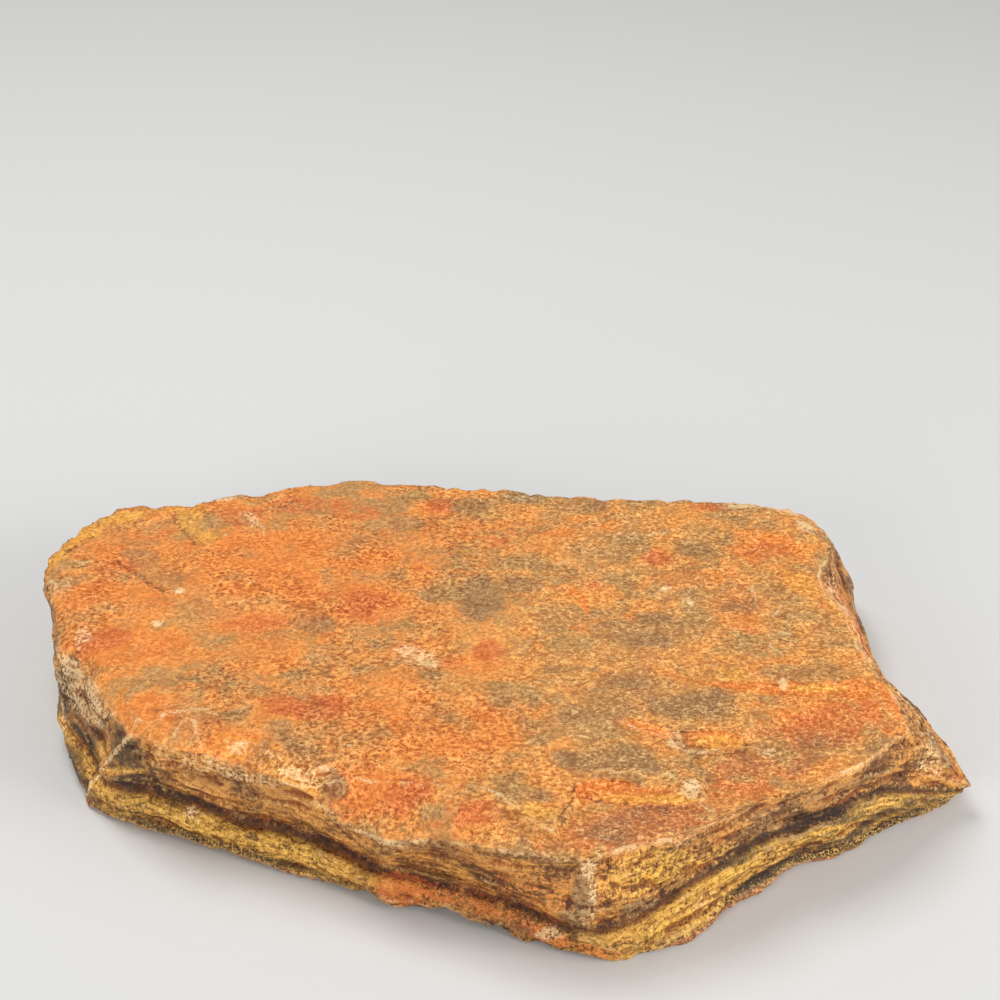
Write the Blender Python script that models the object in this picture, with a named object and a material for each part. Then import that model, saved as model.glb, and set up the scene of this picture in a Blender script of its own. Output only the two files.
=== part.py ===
"""A rough slab of tiger eye, split along its layers and lying on its flat underside.

The stone is one natural piece. Its plan is a long, broken outline, its walls
are snapped almost square through the layers, and its top is a split face with
plates that broke off at different levels. Lengths in this file are in
millimetres, +X is to the right of the slab's long front edge, +Y is towards
the long far edge and +Z is up.
"""

import math

import bmesh
import bpy
import numpy as np
from mathutils import Vector, noise
from mathutils.geometry import delaunay_2d_cdt

MM = 0.001

# --- Driving dimensions, in millimetres ---------------------------------------
TOP_LEVEL = 38.0        # height of the uppermost plate above the table
TOP_SWELL = 0.7         # how far the split face waves up and down
TOP_GRAIN = 0.35        # the same over short distances
SEAM_DEPTH = 2.0        # the soft dark layer that weathers back along the walls
SEAM_WIDTH = 2.2
BAND_HEIGHT = 1.3       # the hard silky layer that stands out under the seam
BAND_BELOW_SEAM = 6.0
BAND_WIDTH = 3.0
LOW_SEAM_DEPTH = 1.0    # a thinner soft layer near the foot
LOW_SEAM_BELOW = 12.0
LAYER_DRIFT = 1.6       # how far the layers wander up and down beside the seam
SHEET_THICKNESS = 3.1   # the sheets that the walls break into
SHEET_STEP = 1.3        # how far one sheet can stand out from the next
SHEET_BEND = 2.2        # how far the sheets bend up and down along a wall
SHEET_EDGE = 0.3        # share of a sheet's thickness that slopes to the next sheet
WALL_LUMPS = 1.2        # broad lumps across the walls
CORNER_CALM = 7.0       # how much smoother the walls are at their sharp corners
CALM_AT_FOOT = 0.12     # share of the wall's height that smooths out towards the foot
CALM_AT_RIM = 0.08      # and towards the rim
RIM_SLOPE_LEAST = 1.2   # width of the worn edge along the rim
RIM_SLOPE_PER_DROP = 1.1    # and its growth for each millimetre that the rim lies lower
RIM_ROUNDING = 1.35     # 1 is a flat bevel, 2 a round one
RIM_CHIPS = 1.3         # depth of the chips along the top edge
RIM_CHIP_BIAS = 0.25    # above 0 more than half of the edge is chipped
RIM_CHIP_DROP = 0.8     # how far a chip lowers the edge for each millimetre of its depth
FOOT_CHIPS = 1.6        # depth of the chips along the bottom edge
FOOT_CHIP_BIAS = 0.35
FOOT_CHIP_CUT = 0.5     # how far a foot chip cuts in for each millimetre that it rises
FOOT_LIFT = 0.6         # height of the unchipped foot edge above the table
FOOT_TUCK = 3.4         # how far the resting face stays inside the foot
RING_STEP = 1.25        # distance between neighbouring points round the walls
TOP_STEP = 1.7          # distance between neighbouring points on the top
BASE_STEP = 2.6         # the same on the underside
ROW_SPACING = 0.87      # rows of points on the top and underside, as a share of the step
ROW_SHAKE = 0.18        # how far those points are shaken, as a share of the step
EDGE_CLEARANCE = 0.6    # and how far they stay from the edge
WALL_ROWS = 27
TRIANGLES = 8600
SHARP_TURN = 28.0       # edges that turn more than this, in degrees, are shaded sharp
SEED = 31

# --- Lump sizes of the uneven surfaces, in millimetres ------------------------
DRIFT_LUMP = 31.0       # the layers' wandering
SOFT_LUMP = 22.0        # the depth of the soft layers
HARD_LUMP = 17.0        # the height of the hard layer
BEND_LUMP = 38.0        # the bending of the sheets
SHEET_LUMP = 13.0       # how long a sheet stands out before it steps back
WALL_LUMP = 15.0
RIM_CHIP_LENGTH = 5.0
FOOT_CHIP_LENGTH = 7.0
PLATE_LUMP = 4.5        # the raggedness of the plates' outlines
PLATE_RAGGEDNESS = 0.9
SWELL_LUMP = 48.0       # the waves of the split face
GRAIN_LUMP = 9.0

# --- The walls ----------------------------------------------------------------
# Each station is one place round the slab, counted anticlockwise from above.
# It gives the point on the rim, the point on the dark seam and the point on the
# foot, each as (x, y, z).
FRONT_LEFT = [
    ((-97.0, -33.6, 34.0), (-108.7, -28.7, 12.0), (-115.0, -26.0, 0.0)),
    ((-93.0, -36.0, 34.5), (-101.0, -32.5, 14.5), (-107.0, -32.4, 0.0)),
    ((-90.0, -38.0, 34.5), (-95.5, -35.0, 16.0), (-98.5, -36.5, 0.0)),
    ((-88.5, -39.5, 34.5), (-93.5, -37.3, 17.0), (-96.0, -38.0, 0.0)),
    ((-82.0, -41.3, 34.0), (-85.0, -40.3, 17.0), (-87.0, -41.7, 0.0)),
    ((-75.0, -42.5, 34.0), (-77.0, -41.8, 16.5), (-78.0, -45.4, 0.0)),
    ((-68.5, -44.5, 33.0), (-67.5, -44.5, 14.0), (-67.0, -49.0, 0.0)),
    ((-62.0, -48.5, 33.0), (-60.0, -48.0, 15.0), (-58.5, -52.5, 0.0)),
    ((-57.0, -50.3, 33.0), (-54.0, -50.3, 16.0), (-50.0, -56.2, 0.0)),
    ((-51.0, -53.0, 32.0), (-48.5, -52.8, 15.5), (-45.0, -57.5, 0.0)),
    ((-44.0, -56.5, 30.0), (-43.0, -55.5, 14.5), (-40.0, -60.3, 0.0)),
    ((-38.0, -61.0, 28.5), (-37.0, -58.5, 13.3), (-34.5, -61.5, 0.0)),
    ((-32.0, -65.5, 27.5), (-31.5, -60.5, 12.0), (-29.5, -66.3, 0.0)),
]
FRONT_HOLLOW = [
    ((-26.0, -69.0, 27.0), (-26.0, -62.5, 11.5), (-25.5, -68.8, 0.0)),
    ((-20.0, -70.0, 28.5), (-20.0, -63.5, 12.0), (-19.0, -66.9, 0.0)),
    ((-14.0, -71.5, 30.0), (-13.5, -65.0, 11.0), (-12.0, -68.3, 1.0)),
    ((-10.0, -74.0, 31.5), (-8.5, -66.5, 10.5), (-7.0, -72.2, 1.5)),
    ((-5.0, -75.5, 33.0), (-3.0, -69.0, 10.5), (-1.0, -76.3, 0.5)),
    ((0.0, -78.0, 33.5), (2.0, -72.0, 10.5), (4.0, -76.6, 0.0)),
    ((6.0, -79.5, 34.0), (8.0, -75.5, 11.0), (10.0, -79.0, 0.0)),
    ((13.0, -81.0, 34.5), (14.0, -79.0, 11.5), (16.0, -81.0, 0.0)),
    ((20.0, -82.5, 34.5), (19.0, -82.0, 12.0), (22.0, -83.3, 0.0)),
    ((28.0, -83.0, 34.8), (23.0, -83.8, 16.0), (31.0, -86.0, 0.0)),
]
FRONT_RIGHT = [
    ((31.0, -81.5, 34.8), (31.0, -83.0, 13.0), (35.0, -87.0, 0.0)),
    ((36.0, -79.0, 35.0), (39.0, -80.5, 14.0), (40.5, -84.5, 0.0)),
    ((42.0, -77.0, 35.0), (44.0, -78.5, 16.5), (47.0, -82.5, 0.0)),
    ((51.5, -74.5, 35.0), (52.0, -74.5, 20.5), (54.5, -79.0, 0.0)),
    ((58.0, -71.0, 35.2), (58.5, -70.5, 19.5), (60.7, -74.2, 0.0)),
    ((66.0, -66.3, 35.3), (65.0, -66.3, 21.0), (64.5, -68.3, 0.0)),
    ((74.5, -61.8, 35.3), (72.0, -61.5, 21.5), (70.3, -64.7, 0.0)),
    ((81.0, -59.3, 35.4), (79.0, -57.0, 20.5), (78.2, -60.2, 0.0)),
    ((88.0, -56.0, 35.5), (87.0, -53.0, 19.5), (82.5, -52.7, 0.0)),
    ((95.0, -51.5, 35.6), (95.0, -49.0, 19.5), (91.0, -49.8, 0.0)),
    ((103.5, -45.8, 35.8), (102.5, -44.5, 22.0), (98.5, -48.1, 0.0)),
    ((108.5, -40.8, 35.8), (109.0, -39.0, 19.5), (103.5, -44.2, 0.0)),
    ((113.0, -37.3, 35.8), (114.0, -35.5, 18.0), (109.0, -40.0, 0.0)),
]
RIGHT_POINT = [
    ((114.8, -35.5, 35.5), (119.0, -32.7, 15.5), (115.5, -36.7, 0.5)),
    ((115.8, -34.0, 35.3), (126.0, -30.3, 12.5), (122.0, -32.5, 1.5)),
    ((116.3, -32.0, 35.0), (132.0, -28.8, 10.5), (129.0, -29.7, 3.0)),
    ((116.3, -30.0, 35.0), (138.2, -27.8, 9.5), (135.5, -27.5, 5.0)),
    ((116.0, -27.0, 35.0), (136.0, -22.5, 11.0), (135.0, -22.0, 3.5)),
]
RIGHT_SIDE = [
    ((115.3, -23.0, 35.2), (134.6, -16.0, 14.0), (134.4, -15.0, 2.0)),
    ((114.3, -18.0, 35.5), (131.4, -8.5, 15.0), (131.8, -8.0, 1.0)),
    ((112.5, -11.5, 35.8), (126.5, -1.0, 15.5), (128.0, 0.0, 0.0)),
    ((109.8, -5.0, 36.3), (121.8, 7.0, 15.0), (123.5, 9.0, 0.0)),
    ((109.0, 8.0, 36.5), (118.0, 18.0, 15.0), (119.5, 21.0, 0.0)),
    ((107.8, 15.5, 36.5), (117.6, 27.0, 14.0), (119.0, 30.0, 0.0)),
    ((105.5, 22.5, 36.3), (118.3, 34.0, 15.0), (118.5, 38.0, 0.0)),
    ((102.0, 31.0, 36.0), (117.6, 42.0, 18.0), (118.0, 47.0, 0.0)),
    ((103.0, 40.0, 36.0), (116.8, 49.0, 20.0), (117.0, 55.0, 0.0)),
    ((105.5, 49.0, 35.8), (116.6, 57.0, 20.0), (116.5, 62.0, 0.0)),
    ((108.0, 58.0, 35.0), (116.2, 65.0, 19.0), (116.0, 70.0, 0.0)),
]
FAR_SIDE = [
    ((108.0, 64.0, 34.5), (115.2, 72.0, 19.0), (113.8, 78.0, 0.0)),
    ((105.0, 70.0, 34.5), (111.0, 78.0, 18.0), (108.0, 84.0, 0.0)),
    ((101.0, 74.5, 35.3), (103.0, 82.0, 18.0), (100.0, 86.0, 0.0)),
    ((92.0, 77.3, 36.5), (92.0, 83.5, 15.0), (90.0, 87.0, 0.0)),
    ((77.0, 78.8, 37.0), (78.0, 85.5, 19.0), (79.0, 88.0, 0.0)),
    ((64.0, 79.0, 37.0), (65.0, 83.0, 13.0), (63.0, 87.0, 0.0)),
    ((51.5, 79.3, 36.8), (50.0, 86.0, 19.0), (50.0, 88.5, 0.0)),
    ((38.0, 80.3, 37.0), (36.0, 84.0, 15.0), (37.0, 88.0, 0.0)),
    ((27.0, 82.0, 37.0), (24.0, 87.5, 17.0), (23.0, 89.0, 0.0)),
    ((15.0, 83.0, 37.3), (12.0, 86.5, 20.0), (10.0, 89.0, 0.0)),
    ((4.0, 86.0, 37.5), (0.0, 88.5, 14.0), (-2.0, 89.0, 0.0)),
    ((-10.0, 86.0, 37.5), (-12.0, 87.0, 18.0), (-14.0, 88.0, 0.0)),
    ((-22.0, 87.0, 37.8), (-24.0, 86.0, 12.0), (-26.0, 88.0, 0.0)),
    ((-35.5, 88.0, 38.0), (-36.0, 88.5, 19.0), (-37.0, 86.0, 0.0)),
    ((-44.0, 89.0, 38.0), (-45.0, 86.0, 16.0), (-46.0, 85.0, 0.0)),
    ((-56.0, 87.0, 37.8), (-57.0, 86.5, 18.0), (-58.0, 84.0, 0.0)),
    ((-64.0, 86.0, 37.8), (-66.0, 83.0, 13.0), (-68.0, 82.0, 0.0)),
    ((-72.0, 83.0, 37.5), (-75.0, 82.5, 17.0), (-77.0, 79.0, 0.0)),
    ((-85.0, 81.0, 37.5), (-87.0, 79.0, 15.0), (-87.0, 77.0, 0.0)),
    ((-94.0, 77.0, 37.5), (-97.0, 77.5, 19.0), (-97.0, 74.0, 0.0)),
    ((-108.0, 75.5, 37.3), (-109.0, 73.0, 16.0), (-107.0, 71.0, 0.0)),
]
LEFT_SIDE = [
    ((-118.3, 75.0, 37.0), (-117.5, 71.5, 14.0), (-115.0, 67.0, 0.0)),
    ((-125.0, 70.3, 36.8), (-123.5, 65.0, 17.0), (-120.0, 61.0, 0.0)),
    ((-131.2, 61.0, 36.5), (-128.5, 56.5, 18.0), (-125.0, 53.0, 0.0)),
    ((-135.0, 51.0, 36.0), (-132.0, 47.0, 15.0), (-128.0, 44.0, 0.0)),
    ((-137.4, 43.0, 35.5), (-133.5, 39.0, 16.0), (-130.0, 36.0, 0.0)),
    ((-134.0, 34.0, 35.0), (-132.0, 29.0, 17.0), (-129.5, 26.0, 0.0)),
    ((-130.0, 24.0, 35.0), (-130.2, 20.0, 16.0), (-129.0, 16.0, 0.0)),
    ((-126.0, 11.0, 34.5), (-128.6, 12.0, 15.0), (-127.5, 8.0, 1.0)),
    ((-124.0, 4.0, 34.5), (-126.6, 4.5, 14.0), (-125.8, 1.0, 1.0)),
    ((-119.0, 0.0, 34.3), (-123.8, -3.0, 12.0), (-123.0, -6.0, 1.0)),
    ((-114.0, -6.5, 34.2), (-119.3, -9.8, 12.0), (-120.3, -12.6, 0.5)),
    ((-107.0, -19.0, 34.0), (-114.6, -18.3, 12.0), (-117.8, -18.6, 0.5)),
    ((-100.0, -28.5, 34.0), (-110.8, -24.8, 12.0), (-115.6, -23.6, 0.0)),
]
STATIONS = FRONT_LEFT + FRONT_HOLLOW + FRONT_RIGHT + RIGHT_POINT + RIGHT_SIDE + FAR_SIDE + LEFT_SIDE

# --- The plates that broke off the top ----------------------------------------
# A plate has a drop and an outline. Each corner is (x, y, width of the break's
# slope there). Corners well outside the slab only close the outline.
MIDDLE_PLATE = (1.0, [
    (27.0, -30.5, 5.0), (36.5, -32.2, 2.2), (42.0, -33.2, 2.2), (48.0, -35.6, 2.5),
    (57.5, -35.8, 3.5), (64.0, -35.8, 3.5), (70.5, -36.4, 2.5), (73.0, -28.0, 1.5),
    (75.5, -21.5, 1.5), (76.5, -16.6, 1.2), (94.0, -17.1, 1.2), (105.5, -18.2, 1.2),
    (108.0, -8.5, 1.2), (160.0, -7.0, 1.2), (160.0, -130.0, 5.0), (4.0, -130.0, 8.0),
    (3.0, -72.0, 10.0), (9.0, -55.0, 14.0), (17.0, -40.0, 12.0),
])
LOWER_PLATE = (2.2, [
    (-14.0, -66.0, 7.0), (0.0, -65.5, 5.0), (8.5, -67.0, 2.5), (11.7, -72.0, 1.6),
    (18.0, -75.4, 1.2), (18.6, -72.5, 1.0), (22.8, -63.8, 1.0), (24.0, -59.8, 1.0),
    (27.7, -55.3, 1.6), (37.0, -56.0, 2.0), (51.0, -57.4, 2.0), (55.8, -57.0, 1.6),
    (58.0, -60.8, 0.9), (57.2, -55.0, 0.9), (56.4, -51.5, 0.9), (55.0, -46.5, 1.0),
    (51.0, -41.0, 2.0), (48.6, -36.6, 3.5),
    (57.5, -36.1, 4.0), (64.0, -36.1, 4.0), (70.5, -36.8, 3.0), (74.0, -30.0, 8.0),
    (80.0, -20.0, 18.0), (105.0, -19.0, 22.0), (160.0, -10.0, 22.0), (160.0, -130.0, 5.0),
    (-14.0, -130.0, 7.0),
])
FRONT_LEFT_PLATE = (1.3, [
    (-160.0, -31.5, 1.0), (-103.0, -31.5, 1.0), (-97.4, -30.5, 1.0), (-90.0, -27.5, 1.2),
    (-85.0, -28.0, 1.2), (-80.0, -35.0, 3.0), (-72.0, -40.0, 2.5), (-63.0, -43.3, 2.2),
    (-54.7, -46.8, 2.5), (-45.0, -50.0, 3.0), (-38.0, -54.5, 5.0), (-28.0, -60.0, 7.0),
    (-18.0, -64.0, 6.0), (-14.0, -90.0, 3.0), (-160.0, -90.0, 3.0),
])
FRONT_LIP = (1.8, [
    (-60.0, -72.0, 2.0), (-34.0, -64.5, 1.6), (-29.0, -66.3, 1.2), (-25.0, -66.8, 1.2),
    (-19.0, -66.3, 1.0), (-13.5, -66.8, 1.0), (-10.5, -69.0, 1.0), (-9.4, -72.0, 1.0),
    (-5.5, -70.5, 1.4), (-2.5, -73.5, 1.2), (-3.5, -90.0, 2.0), (-60.0, -90.0, 2.0),
])
SUNKEN_CORNER = (1.1, [
    (-114.0, 44.5, 1.0), (-105.0, 35.0, 1.0), (-97.5, 28.3, 1.0), (-91.8, 28.7, 2.0),
    (-87.0, 38.0, 7.0), (-91.0, 46.0, 7.0), (-98.0, 50.5, 5.0), (-108.0, 51.0, 4.0),
])
OCHRE_CHIP = (0.8, [
    (-100.0, 72.5, 1.2), (-97.7, 63.8, 1.2), (-92.8, 55.4, 1.2), (-87.5, 51.5, 1.5),
    (-81.5, 55.5, 1.2), (-86.5, 66.5, 1.2), (-92.0, 73.5, 1.2),
])
FAR_CORNER_CHIP = (1.4, [
    (78.0, 100.0, 3.0), (80.0, 75.0, 4.0), (92.0, 72.5, 4.0), (99.0, 67.0, 4.0),
    (103.0, 60.0, 3.0), (130.0, 58.0, 3.0), (130.0, 100.0, 3.0),
])
TOP_PLATES = [
    MIDDLE_PLATE, LOWER_PLATE, FRONT_LEFT_PLATE, FRONT_LIP,
    SUNKEN_CORNER, OCHRE_CHIP, FAR_CORNER_CHIP,
]

# --- Hollows in the underside, in the same form -------------------------------
BASE_HOLLOWS = [
    (1.6, [
        (62.0, 98.0, 3.0), (48.0, 62.0, 2.0), (74.0, 46.0, 2.0), (96.0, 58.0, 2.0),
        (140.0, 80.0, 3.0),
    ]),
    (1.3, [
        (-150.0, 20.0, 3.0), (-112.0, 14.0, 2.0), (-98.0, 34.0, 2.0), (-108.0, 52.0, 2.0),
        (-150.0, 58.0, 3.0),
    ]),
    (1.2, [
        (-60.0, -80.0, 3.0), (-48.0, -42.0, 2.0), (-20.0, -34.0, 2.5), (-4.0, -52.0, 2.0),
        (-6.0, -90.0, 3.0),
    ]),
]


def eased(share):
    """0 to 1 with a soft start and a soft end."""
    share = np.clip(share, 0.0, 1.0)
    return share * share * (3.0 - 2.0 * share)


def wave(points, scale, seed):
    """Seeded noise from -1 to 1 at each row of points; scale is the lump size."""
    offset = Vector((seed * 17.3, seed * 5.1, seed * 9.7))
    return np.array([noise.noise(Vector(p) / scale + offset) for p in points])


def station_table():
    """Rim, seam and foot points as arrays of one row a station."""
    rim = np.array([station[0] for station in STATIONS])
    seam = np.array([station[1] for station in STATIONS])
    foot = np.array([station[2] for station in STATIONS])
    return rim, seam, foot


def ring_positions(seam):
    """Where the ring's points lie between the stations, evenly spaced in length."""
    closed = np.vstack([seam, seam[:1]])
    steps = np.linalg.norm(np.diff(closed, axis=0), axis=1)
    travelled = np.concatenate([[0.0], np.cumsum(steps)])
    count = round(travelled[-1] / RING_STEP)
    wanted = np.arange(count) * travelled[-1] / count
    return np.interp(wanted, travelled, np.arange(len(closed))), wanted


def between_stations(rows, positions):
    """The rows read at fractional station numbers, round the closed ring."""
    closed = np.vstack([rows, rows[:1]])
    numbers = np.arange(len(closed))
    return np.column_stack([np.interp(positions, numbers, closed[:, axis]) for axis in range(3)])


def outward(ring):
    """Level outward directions along an anticlockwise ring, slightly smoothed."""
    ahead = np.roll(ring, -3, axis=0) - np.roll(ring, 3, axis=0)
    normal = np.column_stack([ahead[:, 1], -ahead[:, 0], np.zeros(len(ring))])
    return normal / np.linalg.norm(normal, axis=1)[:, None]


def calm_corners(normal):
    """1 along straight walls and less at sharp corners, where lumps would fold."""
    turn = 1.0 - np.sum(np.roll(normal, 4, axis=0) * np.roll(normal, -4, axis=0), axis=1)
    window = np.ones(7) / 7.0
    turn = np.convolve(np.concatenate([turn[-3:], turn, turn[:3]]), window, mode="valid")
    return 1.0 / (1.0 + CORNER_CALM * turn)


def layer_relief(above_seam, places):
    """How far the wall stands out at a height above its seam, in millimetres."""
    height = above_seam + LAYER_DRIFT * wave(places, DRIFT_LUMP, SEED + 9)
    soft = 1.0 + 0.9 * wave(places, SOFT_LUMP, SEED)
    hard = 1.0 + 1.1 * wave(places, HARD_LUMP, SEED + 10)
    groove = -SEAM_DEPTH * soft * np.exp(-(height / SEAM_WIDTH) ** 2)
    band = BAND_HEIGHT * hard * np.exp(-((height + BAND_BELOW_SEAM) / BAND_WIDTH) ** 2)
    low_groove = -LOW_SEAM_DEPTH * soft * np.exp(-((height + LOW_SEAM_BELOW) / SEAM_WIDTH) ** 2)
    return groove + band + low_groove


def sheet_relief(heights, places):
    """Thin sheets that broke at slightly different depths, each with a short slope to the next."""
    bent = (heights + SHEET_BEND * wave(places, BEND_LUMP, SEED + 1)) / SHEET_THICKNESS
    sheet = np.floor(bent)
    to_next = eased((bent - sheet - 1.0 + SHEET_EDGE) / SHEET_EDGE)
    along = places[:, :2] / SHEET_LUMP
    lower, upper = (
        wave(np.column_stack([along, number * SHEET_THICKNESS]), 1.0, SEED + 2)
        for number in (sheet, sheet + 1.0)
    )
    return SHEET_STEP * (lower + (upper - lower) * to_next)


def wall_rings():
    """Rings of points from the foot up to the rim, and the rim's heights before it chipped."""
    rim, seam, foot = station_table()
    positions, travelled = ring_positions(seam)
    rim, seam, foot = (between_stations(rows, positions) for rows in (rim, seam, foot))
    normal = outward(seam)
    calm = calm_corners(normal)
    around = np.column_stack([travelled, np.zeros_like(travelled), np.zeros_like(travelled)])
    rim_wave = wave(around, RIM_CHIP_LENGTH, SEED + 3)
    rim_chip = RIM_CHIPS * np.clip(rim_wave + RIM_CHIP_BIAS, 0.0, 1.0)
    foot_wave = wave(around, FOOT_CHIP_LENGTH, SEED + 4)
    foot_chip = FOOT_CHIPS * np.clip(foot_wave + FOOT_CHIP_BIAS, 0.0, 1.0)
    rim_heights = rim[:, 2].copy()
    rim = rim - normal * rim_chip[:, None]
    rim[:, 2] -= RIM_CHIP_DROP * rim_chip
    foot = foot - normal * FOOT_CHIP_CUT * foot_chip[:, None]
    foot[:, 2] += FOOT_LIFT + foot_chip
    rings = []
    for row in range(WALL_ROWS):
        share = row / (WALL_ROWS - 1)
        if share < 0.5:
            ring = foot + (seam - foot) * (2.0 * share)
        else:
            ring = seam + (rim - seam) * (2.0 * share - 1.0)
        relief = layer_relief(ring[:, 2] - seam[:, 2], ring)
        relief += sheet_relief(ring[:, 2], ring)
        relief += WALL_LUMPS * wave(ring, WALL_LUMP, SEED + 5)
        fade = calm * eased(share / CALM_AT_FOOT) * eased((1.0 - share) / CALM_AT_RIM)
        rings.append(ring + normal * (relief * fade)[:, None])
    return rings, rim_heights


def inside_depth(points, corners):
    """Distance inside an outline, negative outside, and the slope width nearest to each point."""
    count = len(corners)
    nearest = np.full(len(points), np.inf)
    width = np.ones(len(points))
    inside = np.zeros(len(points), dtype=bool)
    x, y = points[:, 0], points[:, 1]
    for i in range(count):
        ax, ay, a_width = corners[i]
        bx, by, b_width = corners[(i + 1) % count]
        dx, dy = bx - ax, by - ay
        along = np.clip(((x - ax) * dx + (y - ay) * dy) / (dx * dx + dy * dy), 0.0, 1.0)
        distance = np.hypot(x - ax - along * dx, y - ay - along * dy)
        closer = distance < nearest
        nearest = np.where(closer, distance, nearest)
        width = np.where(closer, a_width + along * (b_width - a_width), width)
        if dy != 0.0:
            crosses = (ay > y) != (by > y)
            inside ^= crosses & (x < ax + (y - ay) * dx / dy)
    return np.where(inside, nearest, -nearest), width


def plate_drop(points, plates):
    """How far the plates lower the surface at each point."""
    wander = np.column_stack([points[:, 0], points[:, 1], np.zeros(len(points))])
    ragged = PLATE_RAGGEDNESS * wave(wander, PLATE_LUMP, SEED + 6)
    total = np.zeros(len(points))
    for drop, corners in plates:
        depth, width = inside_depth(points, corners)
        total += drop * eased((depth + ragged) / width)
    return total


def ring_distance(points, ring, heights):
    """Distance to a ring and the height that goes with its nearest point."""
    distance = np.empty(len(points))
    height = np.empty(len(points))
    for start in range(0, len(points), 2000):
        block = points[start:start + 2000]
        gap = np.hypot(block[:, None, 0] - ring[None, :, 0], block[:, None, 1] - ring[None, :, 1])
        nearest = gap.argmin(axis=1)
        distance[start:start + 2000] = gap[np.arange(len(block)), nearest]
        height[start:start + 2000] = heights[nearest]
    return distance, height


def top_heights(points, rim, rim_heights):
    """Height of the split face: plates, a gentle swell, and the worn slope to the rim."""
    flat = np.column_stack([points[:, 0], points[:, 1], np.zeros(len(points))])
    level = TOP_LEVEL - plate_drop(points, TOP_PLATES)
    level += TOP_SWELL * wave(flat, SWELL_LUMP, SEED + 7)
    level += TOP_GRAIN * wave(flat, GRAIN_LUMP, SEED + 8)
    distance, rim_height = ring_distance(points, rim, rim_heights)
    slope = RIM_SLOPE_LEAST + RIM_SLOPE_PER_DROP * np.clip(level - rim_height, 0.0, None)
    share = np.clip(distance / slope, 0.0, 1.0)
    return rim_height + (level - rim_height) * (1.0 - (1.0 - share) ** RIM_ROUNDING)


def base_heights(points, foot):
    """Height of the underside: flat on the table, chipped up to the foot, a little hollow."""
    distance, foot_height = ring_distance(points, foot, foot[:, 2])
    chipped = foot_height * np.clip(1.0 - distance / FOOT_TUCK, 0.0, 1.0)
    return chipped + plate_drop(points, BASE_HOLLOWS)


def loose_grid(ring, step):
    """Points inside a ring on a grid whose rows are shaken a little."""
    low, high = ring.min(axis=0), ring.max(axis=0)
    across = np.arange(low[0] + step, high[0], step)
    along = np.arange(low[1] + step, high[1], step * ROW_SPACING)
    shift = np.random.default_rng(SEED)
    points = []
    for row, y in enumerate(along):
        offset = 0.5 * step * (row % 2)
        points += [(x + offset, y) for x in across]
    points = np.array(points)
    points += shift.uniform(-ROW_SHAKE * step, ROW_SHAKE * step, points.shape)
    outline = [(x, y, 1.0) for x, y in ring[:, :2]]
    depth, _ = inside_depth(points, outline)
    return points[depth > EDGE_CLEARANCE * step]


def cap(ring, inner):
    """Triangles over a ring and the points inside it, as (ring first, then inner) numbers."""
    places = [Vector(p) for p in ring[:, :2]] + [Vector(p) for p in inner]
    count = len(ring)
    edges = [(i, (i + 1) % count) for i in range(count)]
    result = delaunay_2d_cdt(places, edges, [], 1, 1e-5)
    original = [numbers[0] for numbers in result[3]]
    return [tuple(original[v] for v in face) for face in result[2]]


def stone_surface():
    """All points and triangles of the stone before its triangles are thinned out."""
    rings, rim_heights = wall_rings()
    count = len(rim_heights)
    points = [p for ring in rings for p in ring]
    faces = []
    for row in range(len(rings) - 1):
        for i in range(count):
            j = (i + 1) % count
            low, high = row * count, (row + 1) * count
            faces.append((low + i, low + j, high + j, high + i))

    rim = rings[-1]
    top = loose_grid(rim, TOP_STEP)
    heights = top_heights(top, rim, rim_heights)
    numbers = list(range((len(rings) - 1) * count, len(rings) * count))
    numbers += range(len(points), len(points) + len(top))
    points += [np.array((x, y, z)) for (x, y), z in zip(top, heights)]
    faces += [tuple(numbers[v] for v in face) for face in cap(rim, top)]

    foot = rings[0]
    base = loose_grid(foot, BASE_STEP)
    heights = base_heights(base, foot)
    numbers = list(range(count))
    numbers += range(len(points), len(points) + len(base))
    points += [np.array((x, y, z)) for (x, y), z in zip(base, heights)]
    faces += [tuple(numbers[v] for v in reversed(face)) for face in cap(foot, base)]
    return points, faces


def stone_material():
    """Weathered orange-brown quartz with a dull silk."""
    material = bpy.data.materials.new("tiger_eye")
    material.use_nodes = True
    shader = material.node_tree.nodes["Principled BSDF"]
    shader.inputs["Base Color"].default_value = (0.33, 0.13, 0.045, 1.0)
    shader.inputs["Roughness"].default_value = 0.62
    shader.inputs["Metallic"].default_value = 0.0
    return material


def thinned(obj, triangles):
    """The object's mesh with about this many triangles, kept where the shape needs them."""
    modifier = obj.modifiers.new("Thin", "DECIMATE")
    modifier.ratio = triangles / len(obj.data.polygons)
    graph = bpy.context.evaluated_depsgraph_get()
    mesh = bpy.data.meshes.new_from_object(obj.evaluated_get(graph))
    obj.modifiers.clear()
    return mesh


def centre_on_base(mesh):
    """Moves the mesh so that the middle of its box's bottom is the origin."""
    places = np.array([vertex.co for vertex in mesh.vertices])
    low, high = places.min(axis=0), places.max(axis=0)
    shift = Vector(((low[0] + high[0]) / 2, (low[1] + high[1]) / 2, low[2]))
    for vertex in mesh.vertices:
        vertex.co -= shift


def build_stone():
    points, faces = stone_surface()
    mesh = bpy.data.meshes.new("stone_rough")
    body = bmesh.new()
    corners = [body.verts.new(Vector(p) * MM) for p in points]
    for face in faces:
        body.faces.new([corners[v] for v in face])
    bmesh.ops.triangulate(body, faces=body.faces[:])
    bmesh.ops.recalc_face_normals(body, faces=body.faces[:])
    body.to_mesh(mesh)
    body.free()

    stone = bpy.data.objects.new("stone", mesh)
    bpy.context.scene.collection.objects.link(stone)
    stone.data = thinned(stone, TRIANGLES)
    centre_on_base(stone.data)
    stone.data.shade_smooth()
    stone.data.set_sharp_from_angle(angle=math.radians(SHARP_TURN))
    stone.data.materials.append(stone_material())
    return stone


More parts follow.
